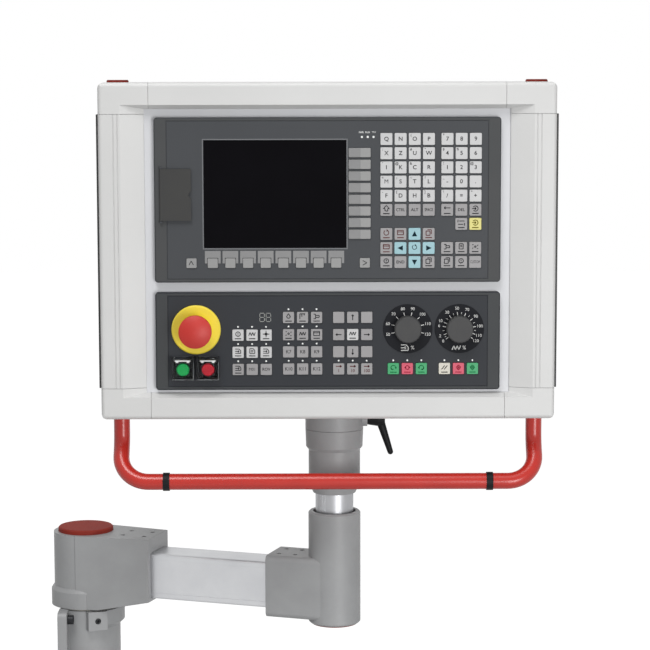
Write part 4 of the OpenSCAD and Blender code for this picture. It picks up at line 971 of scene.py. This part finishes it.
@dataclass
class OperatorUnit(PanelUnit):
    """Upper unit: display, letter keys, cursor keys and softkeys. Sizes in mm."""

    name: str = "operator unit"
    size: Point = (420.0, 200.0)
    key: float = 14.4
    pitch: Point = (17.12, 17.12)
    letters_at: Point = (274.0, 19.2)
    numbers_at: Point = (347.7, 19.2)
    cursor_v: float = 134.0
    letter_size: float = 7.0
    letter_bold: float = 0.1
    corner_size: float = 4.2
    corner_shift: float = 4.6
    arrow: tuple[Point, ...] = ((0.0, -3.6), (3.2, 2.9), (-3.2, 2.9))
    centre_rise: float = 1.0
    centre_half: float = 3.6
    centre_stroke: float = 0.8
    soft_count: int = 8
    soft_at: Point = (60.9, 161.4)
    soft_pitch: float = 21.42
    soft_size: Point = (19.2, 15.2)
    soft_key_wide: float = 12.3
    soft_key_v: float = 170.4
    soft_gap: float = 0.5
    soft_film: float = 0.4
    side_at: Point = (235.4, 37.1)
    side_pitch: float = 14.11
    side_size: Point = (14.4, 11.2)
    side_inset: float = 0.4
    screen_at: Point = (60.0, 27.5)
    screen_size: Point = (172.8, 130.5)
    frame_gap: float = 0.3
    frame_width: float = 1.3
    frame_film: float = 0.08
    lamp_words: tuple[str, ...] = ("PWR", "RUN", "TMP")
    lamp_at: Point = (251.6, 23.9)
    lamp_pitch: float = 7.05
    lamp_r: float = 1.35
    lamp_rise: float = 0.15
    lamp_word_at: Point = (250.8, 18.4)
    lamp_word_pitch: float = 7.6
    lamp_word_size: float = 3.0
    lamp_word_squeeze: float = 0.9
    paging: tuple[tuple[Point, ...], ...] = (
        ((41.6, 178.4), (44.3, 173.6), (47.0, 178.4)),
        ((252.6, 173.4), (257.6, 176.2), (252.6, 179.0)),
    )
    paging_stroke: float = 0.9
    letters: tuple[str, ...] = ("QNOP", "XZUW", "IKCR", "MSTL", "FDHB")
    letter_marks: tuple[str, ...] = ("  ( ", ": #\"", "'@& ", "<;~?", "-[ ]")
    numbers: tuple[str, ...] = ("789", "456", "123", "-0.", "/=+")
    number_marks: tuple[str, ...] = ("*  ", "$% ", "! @", "_  ", "\\ ^")
    coats: dict[str, Finish] = field(default_factory=lambda: {
        "operator_bezel": Finishes.BEZEL,
        "operator_casing": Finishes.CASING,
        "display_glass": Finishes.SCREEN,
        "usb_cover": Finishes.COVER,
        "usb_hinge_pin": Finishes.DARK_STEEL,
        "operator_white_keys": Finishes.WHITE_KEY,
        "operator_grey_keys": Finishes.GREY_KEY,
        "operator_blue_keys": Finishes.BLUE_KEY,
        "operator_softkeys": Finishes.SOFT_KEY,
        "input_key": Finishes.YELLOW_KEY,
    })

    def build(self) -> None:
        """Adds the printing, the lamps and the softkeys' fields."""
        self.find_face("operator_bezel")
        self.print_letters()
        self.print_grey_keys()
        self.print_cursor()
        self.print_field()
        self.add_softkey_fields()

    def print_letters(self) -> None:
        """Prints the letters and numbers, with the shifted sign in each corner."""
        dark = Printing(self.face, self.proud)
        for start, rows, marks in (
            (self.letters_at, self.letters, self.letter_marks),
            (self.numbers_at, self.numbers, self.number_marks),
        ):
            for row, (line, corner) in enumerate(zip(rows, marks)):
                for column, letter in enumerate(line):
                    u, v = self.key_middle(start, column, row)
                    dark.text(letter, u, v, self.letter_size, bold=self.letter_bold)
                    if corner[column] != " ":
                        u, v = u - self.corner_shift, v - self.corner_shift
                        dark.text(corner[column], u, v, self.corner_size)
        self.piece("operator_letters", dark.mesh, Finishes.INK_DARK, "panel", "stem")

    def print_grey_keys(self) -> None:
        """Prints the signs on the grey keys and on the yellow input key."""
        cursor = (self.numbers_at[0], self.cursor_v)
        dark = Printing(self.face, self.proud)
        for start, row, line in (
            (self.letters_at, 5, ("shift", "CTRL", "ALT", "SPACE")),
            (self.numbers_at, 5, ("back", "DEL", "insert")),
            (self.numbers_at, 6, (None, "tab")),
            (cursor, 1, ("chuck", "page", "dots")),
            (cursor, 2, ("pages", "bell", "CUSTOM")),
        ):
            for column, sign in enumerate(line):
                if sign:
                    self.mark(dark, sign, self.key_middle(start, column, row))
        self.piece("operator_grey_signs", dark.mesh, Finishes.INK_DARK, "panel", "stem")
        enter = Printing(self.face, self.proud)
        self.mark(enter, "insert", self.key_middle(self.numbers_at, 2, 6))
        self.piece("input_sign", enter.mesh, Finishes.INK_OLIVE, "input_push", "stem")

    def print_cursor(self) -> None:
        """Prints the cursor block: arrows on the blue keys, red and grey signs on others."""
        start = (self.letters_at[0], self.cursor_v)
        blue = Printing(self.face, self.proud)
        for column, row, turn in ((2, 0, 0), (3, 1, 90), (2, 2, 180), (1, 1, 270)):
            u, v = self.key_middle(start, column, row)
            a = math.radians(turn)
            blue.area([
                (u + x * math.cos(a) - y * math.sin(a), v + x * math.sin(a) + y * math.cos(a))
                for x, y in self.arrow
            ])
        u, v = self.key_middle(start, 2, 1)
        blue.sign("turn", u, v - self.centre_rise, self.centre_half, self.centre_stroke)
        self.piece("cursor_arrows", blue.mesh, Finishes.INK_NAVY, "panel", "stem")
        for name, finish, signs in (
            (
                "cursor_red_signs",
                Finishes.INK_MAROON,
                ((0, 0, "turn"), (1, 0, "window"), (3, 0, "pages"), (0, 1, "window")),
            ),
            (
                "cursor_grey_signs",
                Finishes.INK_DARK,
                ((0, 2, "bell"), (1, 2, "END"), (3, 2, "pages")),
            ),
        ):
            print_on = Printing(self.face, self.proud)
            for column, row, sign in signs:
                self.mark(print_on, sign, self.key_middle(start, column, row))
            self.piece(name, print_on.mesh, finish, "panel", "stem")

    def print_field(self) -> None:
        """Prints the rim of the foil, a painted highlight line round the display, lamps and paging
        signs.
        """
        self.print_rim("operator_rim", Finishes.RIM)
        # Painted highlight: a mid-grey line round the display opening stands for light on the
        # bezel's chamfer
        line = Printing(self.face, 0.0, self.frame_film)
        (u, v), (w, h) = self.screen_at, self.screen_size
        gap, width = self.frame_gap, self.frame_width
        out = gap + width
        for top in (v - out, v + h + gap):
            line.bar(u - out, top, w + 2 * out, width)
        for left in (u - out, u + w + gap):
            line.bar(left, v - gap, width, h + 2 * gap)
        self.piece("display_chamfer_highlight", line.mesh, Finishes.FRAME_LINE, "panel", "bezel")
        lamps = Printing(self.face, 0.0, self.lamp_rise)
        (lamp_u, lamp_v), (word_u, word_v) = self.lamp_at, self.lamp_word_at
        for i, word in enumerate(self.lamp_words):
            lamps.dot(lamp_u + i * self.lamp_pitch, lamp_v, self.lamp_r)
            lamps.text(
                word,
                word_u + i * self.lamp_word_pitch,
                word_v,
                self.lamp_word_size,
                self.lamp_word_squeeze,
            )
        self.piece("operator_lamps", lamps.mesh, Finishes.LAMP_WHITE, "panel", "white_key")
        paging = Printing(self.face, self.proud)
        for stroke in self.paging:
            paging.line(stroke, self.paging_stroke)
        self.piece("paging_signs", paging.mesh, Finishes.INK_DARK, "panel", "stem")

    def add_softkey_fields(self) -> None:
        """Adds the darker label fields round the softkeys, under and beside the display."""
        plates = Printing(self.face, 0.0, self.soft_film)
        (u0, v0), (w, h) = self.soft_at, self.soft_size
        key_v = self.soft_key_v - self.soft_gap
        leg = (w - self.soft_key_wide) / 2 - self.soft_gap
        for i in range(self.soft_count):
            u = u0 + i * self.soft_pitch
            plates.bar(u, v0, w, key_v - v0)
            for left in (u, u + w - leg):
                plates.bar(left, key_v, leg, v0 + h - key_v)
        (u0, v0), (w, h), inset = self.side_at, self.side_size, self.side_inset
        for i in range(self.soft_count):
            v = v0 + i * self.side_pitch + inset
            plates.bar(u0 + inset, v, w - inset, h - 2 * inset, self.proud)
        self.piece("softkey_fields", plates.mesh, Finishes.SOFT_PLATE, "panel", "soft_key")


@dataclass(frozen=True)
class DialScale:
    """Scale of an override dial: percentages and ticks at angles clockwise from the top."""

    middle_u: float
    sign: str
    numbers: tuple[tuple[int, float], ...]
    between: tuple[float, ...] = ()


@dataclass(frozen=True)
class ColourKey:
    """A coloured key that travels: its left edge in mm, its sign, its body and its ink."""

    u: float
    sign: str
    body: str
    print_ink: Finish


@dataclass
class MachineUnit(PanelUnit):
    """Lower unit: emergency stop, buttons, machine keys and override dials. Sizes in mm."""

    name: str = "machine unit"
    key: float = 13.7
    pitch: Point = (17.1, 21.1)
    sign_rise: float = 1.3
    underline: Point = (7.8, 1.2)
    underline_drop: float = 3.8
    word_size: float = 5.4
    word_room: float = 2.7
    word_bold: float = 0.05
    digits_u: Point = (127.2, 134.9)
    digit_v: float = 25.6
    digit_size: Point = (5.6, 10.2)
    digit_stroke: float = 0.5
    digit_gap: float = 0.6
    digit_film: float = 0.08
    left_at: Point = (93.7, 45.5)
    left_signs: tuple[tuple[str, ...], ...] = (
        ("bell", "wave", "cross"),
        ("auto", "single", "auto"),
        ("auto", "M01", "ROV"),
    )
    middle_at: Point = (155.3, 24.0)
    middle_signs: tuple[tuple[str, ...], ...] = (
        ("drop", "tool", "chuck"),
        ("dots", "wave", "window"),
    )
    user_keys: tuple[str, ...] = ("K7", "K8", "K9", "K10", "K11", "K12")
    user_size: float = 6.0
    user_squeeze: float = 0.95
    axis_at: Point = (216.4, 24.0)
    axis_half: float = 3.8
    axis_stroke: float = 1.1
    step_sizes: tuple[str, ...] = ("1", "10", "100")
    step_size: float = 5.6
    step_squeeze: float = 0.95
    step_rise: float = 3.2
    step_drop: float = 2.4
    colour_v: float = 87.1
    colour_keys: tuple[ColourKey, ...] = (
        ColourKey(283.1, "turn_left", "spindle_left_push", Finishes.INK_FOREST),
        ColourKey(300.2, "turn_stop", "spindle_stop_push", Finishes.INK_WINE),
        ColourKey(317.3, "turn_right", "spindle_right_push", Finishes.INK_FOREST),
        ColourKey(345.5, "slashes", "reset_push", Finishes.INK_DARK),
        ColourKey(362.6, "cycle", "cycle_stop_push", Finishes.INK_WINE),
        ColourKey(379.7, "cycle", "cycle_start_push", Finishes.INK_FOREST),
    )
    lamp_rise: float = 3.2
    lamp_r: float = 1.1
    lamp_sides: int = 16
    lamp_film: float = 0.15
    dials: tuple[DialScale, ...] = (
        DialScale(
            307.5,
            "auto",
            (
                (50, -106), (60, -76), (70, -44), (80, -14),
                (90, 14), (100, 45), (110, 76), (120, 106),
            ),
        ),
        DialScale(
            370.4,
            "wave",
            (
                (0, -128), (2, -111), (6, -82), (10, -67.5), (30, -37), (50, -7),
                (70, 22), (90, 53), (100, 83), (110, 110), (120, 127),
            ),
            (-120, -97, -52, -22, 8, 37, 68, 97),
        ),
    )
    dial_v: float = 45.0
    dial_proud: float = 1.0
    tick_from: float = 16.6
    tick_to: float = 20.4
    tick_stroke: float = 0.9
    small_tick_from: float = 18.0
    small_tick_stroke: float = 0.6
    number_r: float = 25.0
    number_size: float = 5.2
    number_bold: float = 0.02
    dial_sign_at: Point = (-3.6, 23.4)
    dial_sign_half: float = 5.2
    dial_sign_stroke: float = 1.1
    percent_u: float = 6.0
    percent_size: float = 6.6
    guards_u: Point = (33.2, 63.8)
    guard_v: float = 81.7
    guard_size: Point = (27.6, 25.3)
    guard_tall: float = 8.0
    guard_inner: Point = (23.2, 20.9)
    guard_film: float = 0.1
    clip_lift: float = 1.75
    clip_thick: float = 0.2
    clip_inset: float = 0.4
    clip_bar: Point = (19.0, 1.5)
    clip_foot: Point = (3.2, 1.6)
    clip_foot_u: float = 6.6
    edge_inset: float = 0.4
    edge_width: float = 0.8
    edge_from: float = 3.0
    button_r: float = 7.8
    button_gap: float = 0.3
    coats: dict[str, Finish] = field(default_factory=lambda: {
        "machine_bezel": Finishes.BEZEL_LOW,
        "machine_casing": Finishes.CASING,
        "estop_collar": Finishes.STOP_YELLOW,
        "estop_plunger": Finishes.STEM,
        "estop_mushroom": Finishes.STOP_RED,
        "on_button": Finishes.BUTTON_GREEN,
        "off_button": Finishes.BUTTON_RED,
        "button_guards": Finishes.STEM,
        "on_lid": Finishes.CLEAR_LID,
        "off_lid": Finishes.CLEAR_LID,
        "dial_plates": Finishes.DIAL,
        "spindle_knob": Finishes.KNOB,
        "feed_knob": Finishes.KNOB,
        "machine_white_keys": Finishes.WHITE_KEY,
        "machine_grey_keys": Finishes.GREY_KEY,
        "spindle_left_key": Finishes.GREEN_KEY,
        "spindle_stop_key": Finishes.RED_KEY,
        "spindle_right_key": Finishes.GREEN_KEY,
        "reset_key": Finishes.CREAM_KEY,
        "cycle_stop_key": Finishes.RED_KEY,
        "cycle_start_key": Finishes.GREEN_KEY,
    })

    def build(self) -> None:
        """Adds the printing, the lamps, the dial scales, the guards' clips and the guards' painted
        edge highlights.
        """
        self.find_face("machine_bezel")
        self.print_rim("machine_rim", Finishes.RIM_LOW)
        self.print_digits()
        self.print_blocks()
        self.print_axis_keys()
        self.print_colour_keys()
        self.print_dials()
        self.add_lamps()
        self.add_guard_trim()

    def print_digits(self) -> None:
        """Prints the segments of the two-digit number display."""
        digits = Printing(self.face, 0.0, self.digit_film)
        w, h = self.digit_size
        gap, top = self.digit_gap, self.digit_v
        middle = top + h / 2
        for u in self.digits_u:
            for v in (top, middle, top + h):
                digits.line([(u + gap, v), (u + w - gap, v)], self.digit_stroke)
            for x in (u, u + w):
                digits.line([(x, top + gap), (x, middle - gap)], self.digit_stroke)
                digits.line([(x, middle + gap), (x, top + h - gap)], self.digit_stroke)
        self.piece("number_display", digits.mesh, Finishes.SEGMENT, "panel", "white_key")

    def print_blocks(self) -> None:
        """Prints the mode keys and the user keys."""
        dark = Printing(self.face, self.proud)
        for start, rows in (
            (self.left_at, self.left_signs),
            (self.middle_at, self.middle_signs),
        ):
            for row, line in enumerate(rows):
                for column, sign in enumerate(line):
                    self.mark(dark, sign, self.key_middle(start, column, row))
        across = len(self.middle_signs[0])
        for i, word in enumerate(self.user_keys):
            row = len(self.middle_signs) + i // across
            u, v = self.key_middle(self.middle_at, i % across, row)
            dark.text(word, u, v, self.user_size, self.user_squeeze, self.word_bold)
        self.piece("machine_key_signs", dark.mesh, Finishes.INK_DARK, "panel", "stem")

    def print_axis_keys(self) -> None:
        """Prints the arrows of the axis keys and the sizes of a step."""
        dark = Printing(self.face, self.proud)
        for column, row, sign in ((1, 0, "up"), (0, 1, "left"), (2, 1, "right"), (1, 2, "down")):
            u, v = self.key_middle(self.axis_at, column, row)
            dark.sign(sign, u, v, self.axis_half, self.axis_stroke)
        self.mark(dark, "wave", self.key_middle(self.axis_at, 1, 1))
        self.piece("axis_arrows", dark.mesh, Finishes.INK_DARK, "panel", "stem")
        steps = Printing(self.face, self.proud)
        for column, words in enumerate(self.step_sizes):
            u, v = self.key_middle(self.axis_at, column, 3)
            steps.sign("right", u, v - self.step_rise, self.axis_half, self.axis_stroke)
            steps.text(
                words, u, v + self.step_drop, self.step_size, self.step_squeeze, self.word_bold
            )
        self.piece("axis_steps", steps.mesh, Finishes.INK_MAROON, "panel", "stem")

    def colour_middle(self, key: ColourKey) -> Point:
        """Gives the middle of a coloured key, as u and v."""
        return key.u + self.key / 2, self.colour_v + self.key / 2

    def print_colour_keys(self) -> None:
        """Prints each coloured key's sign; each rides on its own key."""
        for key in self.colour_keys:
            print_on = Printing(self.face, self.proud)
            self.mark(print_on, key.sign, self.colour_middle(key))
            self.piece(f"{key.body}_sign", print_on.mesh, key.print_ink, key.body, "stem")

    def on_dial(self, dial: DialScale, radius: float, turn: float) -> Point:
        """Gives a point of a dial.

        Args:
            dial: The dial.
            radius: Distance from its middle.
            turn: Angle clockwise from straight up, in degrees.

        Returns:
            The point's u and v.
        """
        a = math.radians(turn)
        return dial.middle_u + radius * math.sin(a), self.dial_v - radius * math.cos(a)

    def print_dials(self) -> None:
        """Prints the scales of the two override dials."""
        white = Printing(self.face, self.dial_proud)
        for dial in self.dials:
            for number, turn in dial.numbers:
                ends = [self.on_dial(dial, r, turn) for r in (self.tick_from, self.tick_to)]
                white.line(ends, self.tick_stroke)
                u, v = self.on_dial(dial, self.number_r, turn)
                white.text(str(number), u, v, self.number_size, bold=self.number_bold)
            for turn in dial.between:
                ends = [self.on_dial(dial, r, turn) for r in (self.small_tick_from, self.tick_to)]
                white.line(ends, self.small_tick_stroke)
            u, v = dial.middle_u + self.dial_sign_at[0], self.dial_v + self.dial_sign_at[1]
            white.sign(dial.sign, u, v, self.dial_sign_half, self.dial_sign_stroke)
            white.text("%", dial.middle_u + self.percent_u, v, self.percent_size)
        self.piece("dial_scales", white.mesh, Finishes.INK_WHITE, "panel", "white_key")

    def add_lamps(self) -> None:
        """Adds the small white lamps over the keys."""
        lamps = Printing(self.face, 0.0, self.lamp_film)
        places = [self.key_middle(self.left_at, c, r) for c in range(3) for r in range(3)]
        places += [self.key_middle(self.middle_at, c, r) for c in range(3) for r in range(4)]
        places += [self.key_middle(self.axis_at, c, 3) for c in range(3)]
        places += [self.colour_middle(key) for key in self.colour_keys]
        for u, v in places:
            lamps.dot(u, v - self.key / 2 - self.lamp_rise, self.lamp_r, self.lamp_sides)
        self.piece("machine_lamps", lamps.mesh, Finishes.LAMP_WHITE, "panel", "white_key")

    def add_guard_trim(self) -> None:
        """Adds each lid's hinge clip, a painted highlight along its guard's bottom and right
        edges, and the black field inside.
        """
        wide, high = self.guard_size
        for u, body in zip(self.guards_u, ("on_flip", "off_flip")):
            clip = Printing(self.face, self.guard_tall + self.clip_lift, self.clip_thick)
            top = self.guard_v + self.clip_inset
            clip.bar(u - self.clip_bar[0] / 2, top, *self.clip_bar)
            for side in (-1, 1):
                left = u + side * self.clip_foot_u - self.clip_foot[0] / 2
                clip.bar(left, top + self.clip_bar[1], *self.clip_foot)
            self.piece(f"{body}_clip", clip.mesh, Finishes.LAMP_WHITE, body, "clear_lid")
        # Painted highlight: pale strips along the bottom and right edges of each guard's top stand
        # for light caught there
        edge = Printing(self.face, self.guard_tall, self.guard_film)
        inset, width = self.edge_inset, self.edge_width
        for u in self.guards_u:
            low = self.guard_v + high - inset - width
            edge.bar(u - wide / 2 + inset, low, wide - 2 * inset, width)
            top = self.guard_v + self.edge_from
            edge.bar(u + wide / 2 - inset - width, top, width, low - self.seam - top)
        self.piece("guard_edge_highlights", edge.mesh, Finishes.FRAME_LINE, "panel", "stem")
        dark = Printing(self.face, 0.0, self.guard_film)
        half_u, half_v = self.guard_inner[0] / 2, self.guard_inner[1] / 2
        middle = self.guard_v + high / 2
        near = self.button_r + self.button_gap
        for u in self.guards_u:
            for left, top in ((-half_u, -half_v), (near, near)):
                dark.bar(u + left, middle - half_v, half_u - near, 2 * half_v)
                dark.bar(u - near, middle + top, 2 * near, half_v - near)
        self.piece("guard_fields", dark.mesh, Finishes.STEM, "panel", "stem")


@dataclass(frozen=True)
class Lamp:
    """A soft square lamp: where it hangs and aims and its side, in metres, and its watts."""

    name: str
    place: Spot
    aim: Spot
    size: float
    power: float


@dataclass
class Studio:
    """Camera, soft lamps, white surroundings and a pale floor. Metres and degrees."""

    eye: Spot = (0.33753, -2.8301, 0.75666)
    focal_px: float = 2177.97
    pitch: float = 6.6036
    yaw: float = 0.2239
    roll: float = -0.1147
    picture_px: float = 650.0
    sensor_mm: float = 36.0
    far: float = 50.0
    floor_z: float = -0.6
    floor_half: float = 12.0
    floor_middle: Point = (0.3, 0.0)
    floor_cells: int = 8
    floor_colour: str = "ABABAB"
    floor_glow: float = 0.88
    floor_glow_near: float = 0.5
    floor_spot: Spot = (0.35, 0.3, -0.6)
    floor_reach: float = 1.9
    sky: float = 0.35
    lamps: tuple[Lamp, ...] = (
        Lamp("Lamp_key", (-0.2, -1.7, 2.9), (0.35, -0.15, 0.4), 1.2, 38.0),
        Lamp("Lamp_fill", (1.3, -2.5, 0.2), (0.35, -0.15, 0.15), 1.0, 31.0),
        Lamp("Lamp_top", (0.4, -0.6, 2.6), (0.35, -0.1, 0.5), 1.8, 8.0),
    )

    def camera(self) -> None:
        """Sets the camera at the photograph's viewing angle."""
        data = bpy.data.cameras.new("Camera")
        data.sensor_width = self.sensor_mm
        data.lens = self.focal_px / self.picture_px * self.sensor_mm
        data.clip_end = self.far
        made = bpy.data.objects.new("Camera", data)
        bpy.context.scene.collection.objects.link(made)
        turn = (
            Matrix.Rotation(-math.radians(self.yaw), 4, "Z")
            @ Matrix.Rotation(math.radians(90 - self.pitch), 4, "X")
            @ Matrix.Rotation(math.radians(self.roll), 4, "Z")
        )
        made.matrix_world = Matrix.Translation(self.eye) @ turn
        bpy.context.scene.camera = made

    def hang(self, lamp: Lamp) -> None:
        """Hangs one lamp.

        Args:
            lamp: The lamp.
        """
        data = bpy.data.lights.new(lamp.name, "AREA")
        data.size = lamp.size
        data.energy = lamp.power
        made = bpy.data.objects.new(lamp.name, data)
        bpy.context.scene.collection.objects.link(made)
        away = Vector(lamp.aim) - Vector(lamp.place)
        turn = away.to_track_quat("-Z", "Y").to_matrix().to_4x4()
        made.matrix_world = Matrix.Translation(lamp.place) @ turn

    def seen_share(self, tree: bpy.types.NodeTree) -> bpy.types.NodeSocket:
        """Finds what the camera, a gloss or glass looks at.

        Args:
            tree: Node tree of the world or of the floor.

        Returns:
            Socket that is 1 for such a ray, and 0 for one that lights the object.
        """
        path = add_node(tree, "ShaderNodeLightPath")
        seen = path.outputs["Is Camera Ray"]
        for other in ("Is Glossy Ray", "Is Transmission Ray"):
            seen = add_node(
                tree, "ShaderNodeMath", {"operation": "MAXIMUM"},
                {"0": seen, "1": path.outputs[other]},
            ).outputs["Value"]
        return seen

    def world(self) -> None:
        """Makes the world: a soft even light that looks plain white."""
        made = bpy.data.worlds.new("Studio_white")
        bpy.context.scene.world = made
        made.use_nodes = True
        tree = made.node_tree
        tree.nodes.clear()
        strength = add_node(
            tree, "ShaderNodeMapRange",
            {"To Min": self.sky, "To Max": 1.0}, {"Value": self.seen_share(tree)},
        )
        light = add_node(
            tree, "ShaderNodeBackground", {"Color": (1.0, 1.0, 1.0, 1.0)},
            {"Strength": strength.outputs["Result"]},
        )
        add_node(tree, "ShaderNodeOutputWorld", None, {"Surface": light.outputs[0]})

    def floor(self) -> None:
        """Makes the pale floor. It glows to the eye, less near the object, so the shadow shows."""
        mesh = bmesh.new()
        cells = self.floor_cells
        bmesh.ops.create_grid(mesh, x_segments=cells, y_segments=cells, size=self.floor_half)
        bmesh.ops.translate(mesh, verts=mesh.verts, vec=(*self.floor_middle, self.floor_z))
        data = bpy.data.meshes.new("Floor")
        mesh.to_mesh(data)
        mesh.free()
        made = bpy.data.objects.new("Floor", data)
        bpy.context.scene.collection.objects.link(made)
        coat = bpy.data.materials.new("Floor_pale")
        coat.use_nodes = True
        tree = coat.node_tree
        tree.nodes.clear()
        matt = add_node(tree, "ShaderNodeBsdfDiffuse", {"Color": linear(self.floor_colour)})
        spot = add_node(
            tree, "ShaderNodeMapping",
            {
                "Location": tuple(-c / self.floor_reach for c in self.floor_spot),
                "Scale": (1 / self.floor_reach,) * 3,
            },
            {"Vector": add_node(tree, "ShaderNodeTexCoord").outputs["Object"]},
        )
        near = add_node(
            tree, "ShaderNodeTexGradient", {"gradient_type": "SPHERICAL"},
            {"Vector": spot.outputs["Vector"]},
        )
        level = add_node(
            tree, "ShaderNodeMapRange",
            {"To Min": self.floor_glow, "To Max": self.floor_glow_near},
            {"Value": near.outputs["Fac"]},
        )
        strength = add_node(
            tree, "ShaderNodeMapRange", {"To Min": 0.0},
            {"Value": self.seen_share(tree), "To Max": level.outputs["Result"]},
        )
        glow = add_node(
            tree, "ShaderNodeEmission", {"Color": (1.0, 1.0, 1.0, 1.0)},
            {"Strength": strength.outputs["Result"]},
        )
        both = add_node(
            tree, "ShaderNodeAddShader", None, {"0": matt.outputs[0], "1": glow.outputs[0]}
        )
        add_node(tree, "ShaderNodeOutputMaterial", None, {"Surface": both.outputs[0]})
        data.materials.append(coat)

    def build(self) -> None:
        """Builds the whole studio."""
        bpy.context.scene.view_settings.view_transform = "Standard"
        self.camera()
        self.world()
        self.floor()
        for lamp in self.lamps:
            self.hang(lamp)
        LOG.info("studio: camera, %d lamps, floor", len(self.lamps))


def main() -> None:
    """Builds the studio and the assemblies in order, and logs what it adds."""
    logging.basicConfig(level=logging.INFO, format="%(name)s: %(message)s")
    Studio().build()
    for assembly in (SupportArm(), Enclosure(), OperatorUnit(), MachineUnit()):
        assembly.dress()
        assembly.build()


if __name__ == "__main__":
    main()
